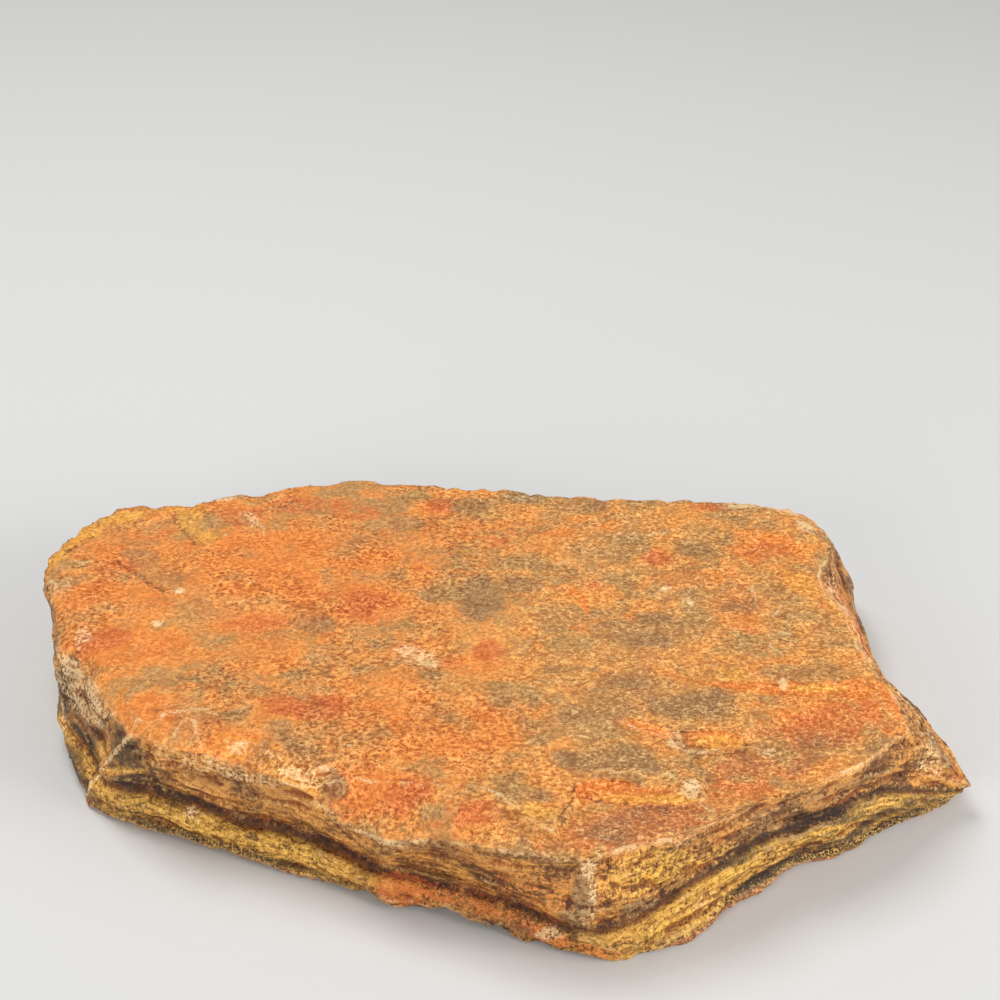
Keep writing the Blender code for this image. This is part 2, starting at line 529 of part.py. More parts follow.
for old in list(bpy.data.objects):
    bpy.data.objects.remove(old, do_unlink=True)
build_stone()
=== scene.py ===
"""A rough slab of tiger eye, finished and lit on a plain pale floor.

The stone is one piece. A close mesh is grown over the plain solid, given the
fine relief of a split face and of broken layers, and marked point by point with
what covers it: rust, grey bloom, gold silk, pale bruises and dark seams, and with
painted shade in its hollows, along its step and plate edges and in some dark patches.
The material reads these marks and adds the grain, fibres and pits, with painted
shade in the dips and pits of the grain and painted glints on its crests.
Lengths are in millimetres where nothing else is said. Plans are counted from the
middle of the slab, and heights from its flat base.
"""

import math

import bmesh
import bpy
import numpy as np
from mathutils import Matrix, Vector, noise
from mathutils.kdtree import KDTree


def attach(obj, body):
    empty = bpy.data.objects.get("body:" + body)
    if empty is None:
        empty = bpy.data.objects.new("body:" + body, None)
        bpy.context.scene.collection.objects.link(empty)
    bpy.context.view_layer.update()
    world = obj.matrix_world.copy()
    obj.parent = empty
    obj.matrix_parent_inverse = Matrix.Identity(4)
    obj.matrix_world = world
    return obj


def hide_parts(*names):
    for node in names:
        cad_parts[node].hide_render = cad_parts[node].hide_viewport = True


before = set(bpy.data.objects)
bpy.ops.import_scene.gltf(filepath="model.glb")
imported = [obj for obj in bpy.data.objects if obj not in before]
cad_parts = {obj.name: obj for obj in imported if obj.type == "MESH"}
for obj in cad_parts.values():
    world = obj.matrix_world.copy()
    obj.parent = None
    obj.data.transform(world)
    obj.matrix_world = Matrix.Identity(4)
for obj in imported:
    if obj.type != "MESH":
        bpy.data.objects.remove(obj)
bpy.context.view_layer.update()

MM = 0.001

# --- Sizes of the close mesh and its relief -----------------------------------
MESH_STEP = 0.9         # distance between neighbouring points
BASE_SHARE = 0.66       # share of the points that is left once the flat base is thinned
SHARP_TURN = 28.0       # an edge of the solid that turns more than this, in degrees, stays sharp
SHARP_REACH = 0.75      # points this near to a sharp edge move onto it
SMOOTHING = 5           # rounds that smooth the small facets between the sharp edges
SPIKE = 0.28            # a point that stands out this much further than its neighbours is drawn back
SPIKE_ROUNDS = 2
SET_DOWN = 8.0          # below this height the stone is drawn down until it rests on the floor
FOOT_HEIGHT = 4.0       # the worn foot of the walls, which is smoothed further
FOOT_SMOOTHING = 6
BASE_HEIGHT = 3.0       # the flat base and its hollows lie below this
RIM_REACH = 1.2         # points this near to the rim's line give the rim its height
LOWEST_RIM = 15.0
LEDGE_TOP = 25.0        # no part of the split top lies lower than this
STEEP_TOP = 33.5        # steep faces below this, and this near to the rim, belong to the walls
STEEP_REACH = 16.0
LAYER_DRIFT = 0.64      # how far the layers wander up and down, in step with those of the solid
DRIFT_LENGTH = 31.0
DRIFT_SHIFT = (0.46, 1.17, 0.0)
DRIFT_SEED = 40
FLAKE_HEIGHT = 0.36     # one step of the thin flakes on the split face
PLATE_THICKNESS = 3.8   # the broken plates in the walls
SEAM_DEPTH = 1.0        # grooves along the dark layer and the lower dark layer
LOW_SEAM_DEPTH = 0.7
FOLD_HEIGHT = 0.6       # folds in the gold silk
TOP_LIP_HEIGHT = 0.4
WALL_LIP_HEIGHT = 0.2
CRACK_DEPTH = 0.7
LINE_WIDTH = 0.9        # half the width of a lip, a crack or a ridge
RIDGE_HEIGHT = 0.5      # the sharp ridge down the left front corner, with a hollow on each side
RIDGE_HOLLOW = 0.5

# --- The walls ----------------------------------------------------------------
# Anticlockwise from the left front corner: the rim's x and y, the wall's x and y
# at the dark layer, the height of the dark layer and of the lower dark layer.
WALLS = [
    (-97.5, -35.0, -109.0, -30.0, 11.0, 4.0), (-93.5, -37.0, -101.5, -33.5, 12.5, 4.3),
    (-90.5, -39.0, -96.0, -36.0, 14.5, 4.5), (-89.0, -40.5, -94.0, -38.5, 15.5, 4.5),
    (-82.5, -42.5, -85.5, -41.5, 15.7, 4.5), (-75.5, -43.5, -77.5, -43.0, 14.8, 4.5),
    (-69.0, -45.5, -68.0, -45.5, 12.0, 4.3), (-62.5, -49.5, -60.5, -49.0, 13.0, 4.5),
    (-57.5, -51.5, -54.5, -51.5, 14.0, 4.5), (-51.5, -54.0, -49.0, -54.0, 13.5, 4.0),
    (-44.5, -57.5, -43.5, -56.5, 12.7, 3.5), (-38.5, -62.0, -37.5, -59.5, 11.5, 3.0),
    (-32.5, -66.5, -32.0, -61.5, 10.0, 3.0), (-26.5, -70.0, -26.5, -63.5, 9.7, 3.0),
    (-20.5, -71.0, -20.5, -64.5, 9.5, 3.0), (-14.5, -72.5, -14.0, -66.0, 8.8, 3.0),
    (-10.5, -75.0, -9.0, -67.5, 8.4, 3.0), (-5.5, -76.5, -3.5, -70.0, 8.2, 3.0),
    (-0.5, -79.0, 1.5, -73.0, 8.3, 3.0), (5.5, -80.5, 7.5, -76.5, 8.8, 3.0),
    (12.5, -82.0, 13.5, -80.0, 9.6, 3.0), (19.5, -83.5, 18.5, -83.0, 10.0, 2.5),
    (27.5, -84.0, 22.5, -85.0, 10.5, 2.0), (30.5, -82.5, 30.5, -84.0, 11.0, 2.0),
    (35.5, -80.0, 38.5, -81.5, 11.8, 2.8), (41.5, -78.0, 43.5, -79.5, 13.8, 4.0),
    (51.0, -75.5, 51.5, -75.5, 17.5, 6.5), (57.5, -72.0, 58.0, -71.5, 17.3, 6.0),
    (65.5, -67.5, 64.5, -67.5, 19.7, 6.6), (74.0, -63.0, 71.5, -62.5, 20.0, 7.2),
    (80.5, -60.5, 78.5, -58.0, 18.3, 6.3), (87.5, -57.0, 86.5, -54.0, 17.8, 5.3),
    (94.5, -52.5, 94.5, -50.0, 17.7, 4.6), (103.0, -47.0, 102.0, -45.5, 20.0, 4.0),
    (108.0, -42.0, 108.5, -40.0, 17.8, 3.6), (112.5, -38.5, 113.5, -36.5, 15.3, 4.0),
    (114.5, -36.5, 118.5, -34.0, 12.8, 4.8), (115.5, -35.0, 125.5, -31.5, 10.0, 5.0),
    (116.0, -33.0, 131.5, -30.0, 8.5, 4.5), (116.0, -31.0, 137.5, -29.0, 8.0, 4.0),
    (115.5, -28.0, 135.5, -23.5, 10.0, 5.0), (115.0, -24.0, 134.0, -17.0, 13.0, 5.0),
    (114.0, -19.0, 131.0, -9.5, 14.0, 5.0), (112.0, -12.5, 126.0, -2.0, 14.5, 5.0),
    (109.5, -6.0, 121.5, 6.0, 14.0, 5.0), (108.5, 7.0, 117.5, 17.0, 14.0, 5.0),
    (107.5, 14.5, 117.0, 26.0, 12.0, 5.0), (105.0, 21.5, 118.0, 33.0, 12.0, 5.0),
    (101.5, 30.0, 117.0, 41.0, 13.0, 5.0), (102.5, 39.0, 116.5, 48.0, 15.5, 5.0),
    (105.0, 48.0, 116.0, 56.0, 16.0, 5.0), (107.5, 57.0, 115.5, 64.0, 15.0, 5.0),
    (107.5, 63.0, 114.5, 71.0, 15.0, 5.0), (104.5, 69.0, 110.5, 77.0, 15.5, 5.0),
    (100.5, 73.5, 102.5, 81.0, 16.0, 5.0), (91.5, 76.0, 91.5, 82.5, 15.5, 5.0),
    (76.5, 77.5, 77.5, 84.5, 16.0, 5.0), (63.5, 78.0, 64.5, 82.0, 14.0, 4.0),
    (51.0, 78.0, 49.5, 85.0, 16.0, 5.0), (37.5, 79.0, 35.5, 83.0, 15.0, 5.0),
    (26.5, 81.0, 23.5, 86.5, 16.0, 5.5), (14.5, 82.0, 11.5, 85.5, 17.5, 6.0),
    (3.5, 85.0, -0.5, 87.5, 15.0, 5.0), (-10.5, 85.0, -12.5, 86.0, 15.0, 4.5),
    (-22.5, 86.0, -24.5, 85.0, 13.5, 4.0), (-36.0, 87.0, -36.5, 87.5, 16.0, 5.0),
    (-44.5, 88.0, -45.5, 85.0, 16.0, 5.5), (-56.5, 86.0, -57.5, 85.5, 15.5, 5.5),
    (-64.5, 85.0, -66.5, 82.0, 13.5, 4.5), (-72.5, 82.0, -75.5, 81.5, 15.0, 4.5),
    (-85.5, 80.0, -87.5, 78.0, 15.0, 4.5), (-94.5, 76.0, -97.5, 76.5, 16.5, 5.5),
    (-108.5, 74.5, -109.5, 72.0, 15.0, 5.0), (-119.0, 74.0, -118.0, 70.5, 14.0, 4.5),
    (-125.5, 69.0, -124.0, 64.0, 15.5, 5.0), (-131.5, 60.0, -129.0, 55.5, 16.0, 5.5),
    (-135.5, 50.0, -132.5, 46.0, 15.0, 5.0), (-138.0, 42.0, -134.0, 38.0, 15.0, 5.0),
    (-134.5, 33.0, -132.5, 28.0, 15.5, 5.0), (-130.5, 23.0, -130.5, 19.0, 15.0, 5.0),
    (-126.5, 10.0, -129.0, 11.0, 14.0, 5.0), (-124.5, 3.0, -127.0, 3.5, 13.0, 5.0),
    (-119.5, -1.0, -124.5, -4.0, 12.0, 5.0), (-114.5, -7.5, -120.0, -11.0, 12.5, 5.0),
    (-107.5, -20.0, -115.0, -19.5, 12.0, 4.5), (-100.5, -29.5, -111.5, -26.0, 11.5, 4.0),
]

# How strongly the layers show, by distance round the walls from the same corner:
# (distance, gold silk, dark layer, lower dark layer, pale bruised edge)
LAYER_STRENGTH = [
    (0, 0.7, 0.4, 0.4, 0.5), (20, 0.8, 0.8, 0.8, 0.3), (45, 0.8, 0.8, 0.9, 0.4),
    (62, 0.9, 0.85, 0.6, 0.9), (80, 0.6, 0.85, 0.4, 1.0), (95, 0.15, 0.8, 0.2, 1.0),
    (118, 0.05, 0.55, 0.2, 0.8), (138, 0.15, 0.5, 0.2, 1.0), (150, 0.6, 0.6, 0.2, 0.8),
    (165, 0.8, 0.8, 0.4, 0.8), (180, 0.9, 1.0, 0.7, 1.0), (200, 1.0, 1.0, 1.0, 1.0),
    (255, 1.0, 1.0, 1.0, 1.0), (275, 0.9, 1.0, 0.6, 0.9), (290, 0.4, 0.5, 0.4, 0.9),
    (340, 0.6, 0.5, 0.4, 0.6), (375, 0.7, 0.8, 0.6, 0.8), (405, 0.8, 0.9, 0.8, 0.8),
    (500, 0.9, 0.9, 0.8, 0.4), (600, 0.8, 0.8, 0.6, 0.4), (660, 0.9, 0.6, 0.5, 0.2),
    (700, 0.4, 0.7, 0.6, 0.6), (722, 0.35, 0.9, 0.8, 0.9), (752, 0.6, 0.8, 0.4, 0.6),
]

# --- What covers the split face -----------------------------------------------
# Each mark is (x, y, half length, half width, turn in degrees, strength).
TOP_MARKS = {
    "rust": [
        (-70, 48, 32, 14, 0, 0.5), (-52, 53, 14, 8, 0, 0.5), (-30, 48, 22, 12, 0, 0.35),
        (-70, 12, 16, 6, 0, 0.3), (-45, 24, 22, 12, -20, 0.45), (-102, 0, 18, 8, 10, 0.4),
        (-93, -27, 12, 6, 0, 0.5), (-72, -38, 14, 6, -25, 0.5), (-20, -28, 16, 9, 0, 0.3),
        (-8, -44, 16, 8, 0, 0.3), (-30, -58, 18, 6, -10, 0.6), (5, -30, 12, 8, 0, 0.35),
        (62, 33, 14, 4, 5, 0.6), (74, 22, 8, 10, 0, 0.35), (85, 50, 12, 9, 0, 0.6),
        (82, -19, 20, 2.2, -3, 0.9), (100, -20, 10, 4, 0, 0.6), (43, -37, 8, 2, -25, 0.9),
        (59, -39.5, 10, 2, -2, 0.8),
        (95, 33, 7, 6, 0, 0.5), (20, 62, 25, 5, 0, 0.35), (-5, -8, 8, 5, 0, 0.45),
        (97, -30, 20, 9, -10, 0.4), (-112, 48, 12, 10, 0, 0.45), (-118, 25, 10, 10, 0, 0.5),
        (95, 72, 8, 3, 0, 0.6), (37, -60, 13, 3.6, -10, 1.0), (24, 27, 3, 1.5, -40, 0.9),
        (28.5, 20, 1.5, 5, 10, 0.9), (26, 9, 3, 1.5, 20, 0.8), (43, 14, 3, 2, 0, 0.9),
        (-100, 20, 8, 6, 20, 0.4), (-75, 30, 16, 8, 0, 0.3), (112, -22, 4, 9, 20, 0.6),
    ],
    "red": [
        (-57, 73, 14, 6, 0, 0.7), (-36, 70, 12, 8, 0, 0.6), (-15, 74, 4, 4, 0, 0.9),
        (-112, 3, 8, 4, 20, 0.8), (-50, -26, 12, 7, 0, 0.8), (-38, 20, 12, 7, -10, 0.5),
        (-68, 11, 10, 5, 0, 0.5), (52, 44, 6, 4, -40, 0.9), (62, 38, 4, 3, 0, 0.5),
        (85, 48, 7, 5, 0, 0.7), (73, 73, 7, 3, 0, 0.8), (72, 6, 6, 4, 0, 0.4),
        (-21, -62, 8, 4, -5, 0.7), (42, -71, 22, 8, 8, 0.75), (92, -34, 22, 8, 15, 0.65),
        (-112, 38, 8, 8, -30, 0.5), (-105, 58, 8, 5, 20, 0.5), (-80, 68, 8, 5, -10, 0.6),
        (0, 53, 7, 5, 0, 0.35), (33, 31, 6, 4, 0, 0.35), (0, -2, 5, 5, 0, 0.6),
        (-5, -68, 12, 4, 0, 0.5), (20, -79, 9, 2.5, 0, 0.6), (70, -51, 20, 9, 25, 0.65),
    ],
    "bloom": [
        (-3, 24, 8, 11, 10, 0.85), (9, 31, 7, 5, -20, 0.6), (22, 15, 10, 7, 0, 0.35),
        (57, -27, 14, 7, 5, 0.8), (30, -31, 13, 7, -5, 0.6), (38, -48, 13, 5, -10, 0.7),
        (29, 73, 9, 5, 0, 0.5), (11, 79, 8, 3.5, -5, 0.9), (66, 49, 9, 5, -10, 0.7),
        (30, 46, 8, 6, 0, 0.35), (-6, 73, 7, 4, 0, 0.7), (-27, 64, 7, 5, 0, 0.55),
        (-52, 12, 8, 5, -10, 0.35), (-93, -13, 5, 4, -20, 0.55), (79, 72, 6, 3, 0, 0.6),
        (-107, 45, 8, 5, -30, 0.6), (-97, 37, 8, 6, -40, 0.4), (-41, -55, 4, 4, -45, 0.8),
        (90, -12, 12, 4, 0, 0.45), (100, 8, 8, 6, 0, 0.3), (10, -62, 8, 4, -10, 0.5),
        (75, -42, 4, 3, 0, 0.6), (-86, 14, 5, 9, 0, 0.3), (40, -5, 15, 8, 0, 0.2),
        (42, -71, 22, 8, 8, 0.36), (80, -44, 22, 9, 22, 0.4), (30, -49, 14, 4, -8, 0.6),
        (47, 8, 20, 9, 5, 0.5), (40, -20, 16, 8, 0, 0.45), (72, 22, 12, 8, 0, 0.3),
    ],
    "gold": [
        (-132, 50, 3.5, 9, -15, 1.0), (-127, 60, 5, 7, -35, 1.0), (-117, 68, 8, 4.5, 20, 0.9),
        (-104, 73, 8, 3, 8, 0.6), (-95, 67, 4.5, 9, 15, 0.9), (-88, 57, 5, 5, 0, 0.8),
        (95, 32, 6, 6, 0, 0.6), (69, -13, 5, 3.5, -40, 0.7), (61, -40, 8, 1.6, -2, 0.9),
        (92, -19, 8, 1.6, -3, 0.7), (47, -62, 9, 2.4, -10, 0.9),
        (11, -69, 8, 3, -20, 0.7), (-98, 42, 8, 6, 0, 0.3), (36, -61, 8, 2, -8, 0.6),
        (-64, -43, 12, 3.0, -25, 0.4), (-52, -50, 11, 3.5, -24, 0.5), (-45, -56, 6, 2.5, -45, 0.4),
    ],
    "bruise": [
        (-62, -44, 9, 1.6, -25, 0.35), (-50, -51, 8, 1.8, -24, 0.4), (-43, -51, 3, 0.9, -10, 0.6),
        (-17, -8, 4, 1.8, -40, 0.9), (-19, -5, 9, 4.5, -30, 0.35), (-93, 27, 1.7, 1.5, 0, 1.0),
        (-97, 11, 1.6, 1.3, 0, 0.8),
        (-76, 66, 2.5, 6, 25, 0.35), (-84, 79, 9, 2.0, 5, 0.4), (92, 71, 9, 2.0, -12, 0.6),
        (100, 62, 2.5, 5, 20, 0.8), (11, 79, 9, 2.0, -5, 0.4), (53, -60, 2.5, 3, 0, 0.85),
        (84, 74, 12, 2.5, -5, 0.85),
        (51, -41, 2.5, 3.5, 0, 0.7), (75, -43, 3, 2, 0, 0.45), (46, 56, 9, 3, 0, 0.25),
        (-96, -41, 3, 2, 0, 0.8), (-128, 30, 3, 5, 0, 0.3), (-118, 5, 3, 4, 0, 0.3),
        (60, 22, 1, 2.5, 10, 1.0), (53, 28, 1.8, 1.2, 30, 1.0), (83, -17, 1.2, 2, 0, 1.0),
    ],
}
RUST_LEFT, RUST_RIGHT = 0.40, 0.20      # how much rust there is away from the marks
RUST_TURNS_AT = -6.0

# --- What covers the walls ----------------------------------------------------
# The same, but by distance round the walls and height.
WALL_MARKS = {
    "rust": [
        (110, 5, 28, 3.5, 0, 0.45), (328, 30, 22, 8, 0, 0.8), (96, 8, 9, 2, 0, 0.9),
        (132, 20, 14, 10, 0, 0.3), (158, 26, 14, 7, 0, 0.35),
        (96, 6, 10, 3, 0, 0.6), (137, 5, 8, 3, 0, 0.8), (150, 4, 6, 3, 0, 0.6),
    ],
    "red": [
        (94, 5, 8, 2.5, -10, 0.7), (115, 6, 26, 3, 0, 0.4), (106, 25, 14, 5, 0, 0.25),
        (270, 18, 4, 7, 0, 0.7),
        (44, 30, 10, 3, 0, 0.3),
    ],
    "bloom": [
        (146, 22, 3.5, 9, 0, 0.9), (143, 13, 5, 3, 0, 0.8), (161, 14.5, 6, 2.5, 0, 0.9),
        (-45, 24, 9, 10, 0, 0.5), (-15, 22, 12, 6, 0, 0.35), (10, 29, 9, 4, 0, 0.5),
        (100, 26, 14, 4, 0, 0.4), (215, 27, 24, 5, 0, 0.35), (45, 27, 20, 6, 0, 0.3),
    ],
    "gold": [
        (8.5, 20, 10, 1.0, 22, 1.0), (-29, 10, 5, 5, 0, 0.6), (-12, 9, 14, 1.6, -3, 0.5),
        (-6, 18, 3, 7, -35, 0.6),
        (28, 9, 20, 3, 0, 0.3), (64, 8, 18, 3, 0, 0.3), (222, 12, 30, 3, 0, 0.3),
        (164, 25, 15, 7, 0, 0.6), (182, 22, 10, 4, 8, 0.35), (176, 7, 13, 4, 0, 0.65),
    ],
    "bruise": [
        (-22, 31, 18, 4.0, 0, 1.0), (-24, 26, 16, 7, 0, 0.5), (-33, 14, 3, 6, 20, 0.6),
        (147.5, 31, 1.8, 3.5, 0, 0.75),
        (148.5, 22, 1.1, 8, 0, 0.55), (137, 6, 4, 2, 30, 0.7),
        (88, 27, 8, 2.5, -10, 0.7), (31, 13.5, 2.0, 1.2, 0, 0.6), (180, 9.5, 5, 2, 20, 0.4),
        (40, 30, 18, 3, 0, 0.4), (268, 30, 8, 3, -40, 0.7), (330, 33, 22, 2.5, 0, 0.6),
        (262, 22, 8, 8, 0, 0.3), (300, 28, 14, 4, 0, 0.4),
    ],
    # Dark patches: partly the rock's dark bands, partly painted shadow, such as the black shade round the
    # gold lobes of the left facet.
    "dark_patch_and_shade": [
        (-14, 14, 13, 2.5, 0, 1.0), (-32, 22, 5, 9, 0, 0.7), (-45, 14, 8, 8, 0, 0.8),
        (-18, 20, 12, 6, 0, 0.45),
        (9, 26, 8, 5, 20, 0.8), (8, 21, 9, 1.5, 20, 0.6), (-22, 5, 18, 3.5, 0, 0.6),
        (116, 4.5, 22, 2, 0, 0.4), (253, 8, 10, 4, 0, 0.5),
        (9, 16.0, 9, 2.4, 22, 1.0), (19.5, 20, 1.2, 7, 0, 0.9), (122, 3, 6, 1.6, 0, 1.0),
        (12, 6.5, 6, 0.6, 5, 0.7), (105, 20, 2, 7, -30, 0.3), (265, 22, 4, 8, 20, 0.5),
        (8, 31, 8, 2, 10, 0.5), (100, 1.5, 4, 2, 0, 0.8), (196, 18.5, 16, 1.6, 4, 0.6),
        (226, 17.5, 20, 1.6, 2, 0.6), (222, 18.5, 12, 2.2, -18, 0.9), (205, 6, 14, 1.6, 2, 0.8),
        (235, 6.5, 14, 1.8, 3, 0.8),
        (258, 7, 9, 1.6, 0, 0.7), (222, 13, 12, 0.8, 8, 0.4),
        (240, 12, 12, 0.8, -4, 0.4), (212, 10, 10, 0.6, 10, 0.4), (248, 9, 10, 2.0, 0, 0.8),
        (70, 3.5, 25, 1.0, 0, 0.5), (20, 3, 20, 0.9, 0, 0.5),
    ],
}
MARKS = ("rust", "red", "bloom", "gold", "bruise", "dark_patch_and_shade")

# --- Fine lines ---------------------------------------------------------------
# Pale broken lips of the split face, and its dark cracks together with lines of painted shadow below its
# steps, each a row of (x, y).
TOP_LIPS = [
    [(-99, -34), (-96, -31), (-92, -33), (-88, -29.5), (-83, -29), (-78, -28), (-75, -27.5)],
    [(-85, -38), (-84, -34), (-82, -32)], [(-80, -33), (-79, -38)], [(-90, -20), (-89, -26)],
    [(-82, 57), (-84, 53), (-88, 50), (-92, 47)], [(-128, 44), (-124, 41), (-122, 43), (-121, 38)],
    [(-130, 38), (-126, 37), (-123, 39)], [(-134, 35), (-131, 31), (-130, 26)],
    [(-75, 68), (-72, 62), (-70, 57)], [(-84, 79), (-80, 76), (-77, 74)],
    [(-44, -54), (-35, -55), (-28, -57), (-20, -59), (-12, -60)], [(-43, -47), (-40, -48)],
    [(-37, -45), (-34, -47)], [(18, 33), (22, 29), (24, 26)], [(79, 31), (80, 25), (80, 19), (83, 15)],
    [(84, 15), (86, 17), (87, 20)], [(70, 12), (76, 10), (82, 8), (88, 6)], [(81, 0), (84, -4)],
    [(50, 25), (53, 29)], [(58, 20), (58.5, 24)], [(83, -18), (83.5, -15)],
    [(-5, -60), (0, -61), (4, -64)],
    [(36, -34), (40, -36), (45, -38), (48, -40)], [(48, -36), (50, -41), (51.5, -46)],
    [(52, -43.5), (60, -43), (69, -41.5), (69, -37)], [(30, -53), (40, -53), (48, -55), (52, -58)],
    [(54, -62), (57, -65), (59, -67)], [(4, -64), (7, -67), (10, -68)],
    [(9, -71), (13, -73), (17, -76), (18, -72)], [(28, 38), (24, 42), (20, 40)],
    [(22, 44), (25, 42), (30, 43)],
    [(105, 48), (102, 42), (100.5, 35), (101, 28), (103, 21), (105, 14), (106.5, 6), (107, -4)],
    [(113, -38), (118, -46), (124, -53)],
]
TOP_CRACKS_AND_SHADES = [
    [(-116, 45), (-110, 39.5), (-104, 34.5), (-99, 29.5), (-98, 26)],
    [(-101, 70), (-98, 62), (-93, 56), (-92, 52)],
    [(-132, 47), (-127, 55), (-124, 58)], [(23, -58), (21.5, -65), (17.5, -75)],
    [(52, -45), (60, -44.6), (70, -43)], [(25, -60), (35, -63), (45, -65.5), (54, -66.5)],
]
# The same on the walls, by (distance round, height).
WALL_LIPS = [
    [(22, 25), (28, 22), (33, 20.5), (40, 19), (46, 19.5)],
    [(48, 22), (55, 25), (62, 27), (72, 27.5)], [(88, 31), (92, 27), (96, 26)], [(90, 29), (93, 24)],
    [(3, 15), (10, 15.6), (20, 17), (30, 17.3), (36, 16.6), (45, 13), (55, 15), (65, 15), (75, 14),
     (85, 11.5)],
    [(85, 11.5), (95, 10.6), (105, 10.3), (115, 10), (125, 10.2), (133, 11)],
    [(108, 31), (110, 27), (113, 25), (118, 24)], [(106, 22), (112, 19), (120, 18)],
    [(125, 30), (129, 25), (130, 20)], [(145.5, 33), (146.5, 26), (148, 20)],
    [(170, 17), (178, 19.4), (185, 18.8), (192, 19.6), (199, 21.8), (208, 21.2)],
    [(190, 13), (197, 16.5), (205, 17.5), (212, 16.5), (225, 16.6), (240, 17.8)],
    [(165, 3.5), (175, 5), (185, 7.5), (195, 8.8), (210, 9.4)],
]
# Dark cracks of the walls, together with lines of painted shadow below the broken plates.
WALL_CRACKS_AND_SHADES = [
    [(19, 33), (18.5, 25), (20, 18), (17, 13)], [(22, 24), (28, 21), (33, 19.5), (40, 18), (46, 18.5)],
    [(73, 27), (80, 20), (87, 15)], [(10, 32), (8, 30), (3, 27.5)], [(265, 30), (270, 22), (272, 12)],
    [(142, 20), (144, 15), (147, 10)], [(103, 31), (104, 24), (108, 20)],
    [(115, 22), (125, 16), (135, 15)],
    [(150, 27), (156, 22), (166, 20)], [(200, 31), (206, 26), (214, 24)],
]
# The ridge down the left front corner, by the same.
WALL_RIDGES = [[(12, 33.5), (7, 26.5), (3, 21), (-2, 15), (-5.5, 9), (-7, 4), (-8, 1)]]
LINE_REACH = 4.0        # no line is felt further off than this


# --- Noise and masks ----------------------------------------------------------
def eased(share):
    """0 to 1 with a soft start and a soft end."""
    share = np.clip(share, 0.0, 1.0)
    return share * share * (3.0 - 2.0 * share)


def wave(points, scale, seed):
    """Seeded noise from about -1 to 1 at each row of points; scale is the lump size."""
    offset = Vector((seed * 17.3, seed * 5.1, seed * 9.7))
    scaled = (points / scale).tolist()
    return np.array([noise.noise(Vector(p) + offset) for p in scaled])


def spread(u, v, marks, ragged_u, ragged_v):
    """The strongest of a list of marks at each place, with ragged edges."""
    total = np.zeros(len(u))
    for x, y, half_length, half_width, turn, strength in marks:
        angle = math.radians(turn)
        du = u - x + ragged_u * min(1.0, half_length / 12.0)
        dv = v - y + ragged_v * min(1.0, half_width / 10.0)
        along = (du * math.cos(angle) + dv * math.sin(angle)) / half_length
        across = (dv * math.cos(angle) - du * math.sin(angle)) / half_width
        reach = np.hypot(along, across)
        total = np.maximum(total, strength * eased((1.35 - reach) / 0.8))
    return total


# --- The close mesh -----------------------------------------------------------
def after_modifier(mesh, kind, **settings):
    """The mesh as one modifier leaves it."""
    carrier = bpy.data.objects.new("carrier", mesh)
    bpy.context.scene.collection.objects.link(carrier)
    if "vertex_group" in settings:
        group = carrier.vertex_groups.new(name=settings["vertex_group"])
        group.add(base_points(mesh), 1.0, "REPLACE")
    modifier = carrier.modifiers.new(kind.title(), kind)
    for key, value in settings.items():
        setattr(modifier, key, value)
    graph = bpy.context.evaluated_depsgraph_get()
    changed = bpy.data.meshes.new_from_object(carrier.evaluated_get(graph))
    bpy.data.objects.remove(carrier, do_unlink=True)
    return changed


def base_points(mesh):
    """The numbers of the points on the flat base, away from its edge."""
    faces_down = relaxed(normals_of(mesh), edges_of(mesh), 6)[:, 2] < -0.85
    return np.flatnonzero((places_of(mesh)[:, 2] < BASE_HEIGHT) & faces_down).tolist()


def sharp_edge_points(shell):
    """A search tree of close points along the solid's sharp edges."""
    points = []
    for edge in shell.edges:
        if edge.calc_face_angle(0.0) > math.radians(SHARP_TURN):
            start, end = (corner.co / MM for corner in edge.verts)
            steps = max(1, math.ceil((end - start).length / 0.3))
            points += [start.lerp(end, i / steps) for i in range(steps + 1)]
    tree = KDTree(len(points))
    for number, point in enumerate(points):
        tree.insert(point, number)
    tree.balance()
    return tree


def close_mesh(node):
    """An evenly spaced mesh over a CAD node: its edges sharp, its small facets smoothed away."""
    shell = bmesh.new()
    shell.from_mesh(node.data)
    bmesh.ops.remove_doubles(shell, verts=shell.verts[:], dist=1e-6)
    merged = bpy.data.meshes.new("merged")
    shell.to_mesh(merged)
    even = after_modifier(merged, "REMESH", mode="VOXEL", voxel_size=MESH_STEP * MM)
    even = after_modifier(even, "DECIMATE", ratio=BASE_SHARE, vertex_group="base", vertex_group_factor=10.0)

    places = places_of(even)
    tree = sharp_edge_points(shell)
    shell.free()
    found = [tree.find(place) for place in places.tolist()]
    gap = np.array([one[2] for one in found])
    on_edge = np.array([tuple(one[0]) for one in found])
    pinned = gap < SHARP_REACH
    places[pinned] = on_edge[pinned]
    edges = edges_of(even)
    places = relaxed(places, edges, SMOOTHING, pinned)
    inside_base = (places[:, 2] < 0.01) & (gap > 2.0)
    places = relaxed(places, edges, FOOT_SMOOTHING, (places[:, 2] >= FOOT_HEIGHT) | inside_base)
    places = without_spikes(places, edges)
    lowest = places[:, 2].min()
    places[:, 2] -= lowest * np.clip((SET_DOWN - places[:, 2]) / (SET_DOWN - lowest), 0.0, 1.0)
    put_places(even, places)
    return even


def places_of(mesh):
    """The mesh's points in millimetres, one a row."""
    flat = np.empty(len(mesh.vertices) * 3)
    mesh.vertices.foreach_get("co", flat)
    return flat.reshape(-1, 3) / MM


def normals_of(mesh):
    flat = np.empty(len(mesh.vertices) * 3)
    mesh.vertex_normals.foreach_get("vector", flat)
    return flat.reshape(-1, 3)


def edges_of(mesh):
    flat = np.empty(len(mesh.edges) * 2, dtype=np.int32)
    mesh.edges.foreach_get("vertices", flat)
    return flat.reshape(-1, 2)


def put_places(mesh, places):
    mesh.vertices.foreach_set("co", (places * MM).ravel())
    mesh.update()


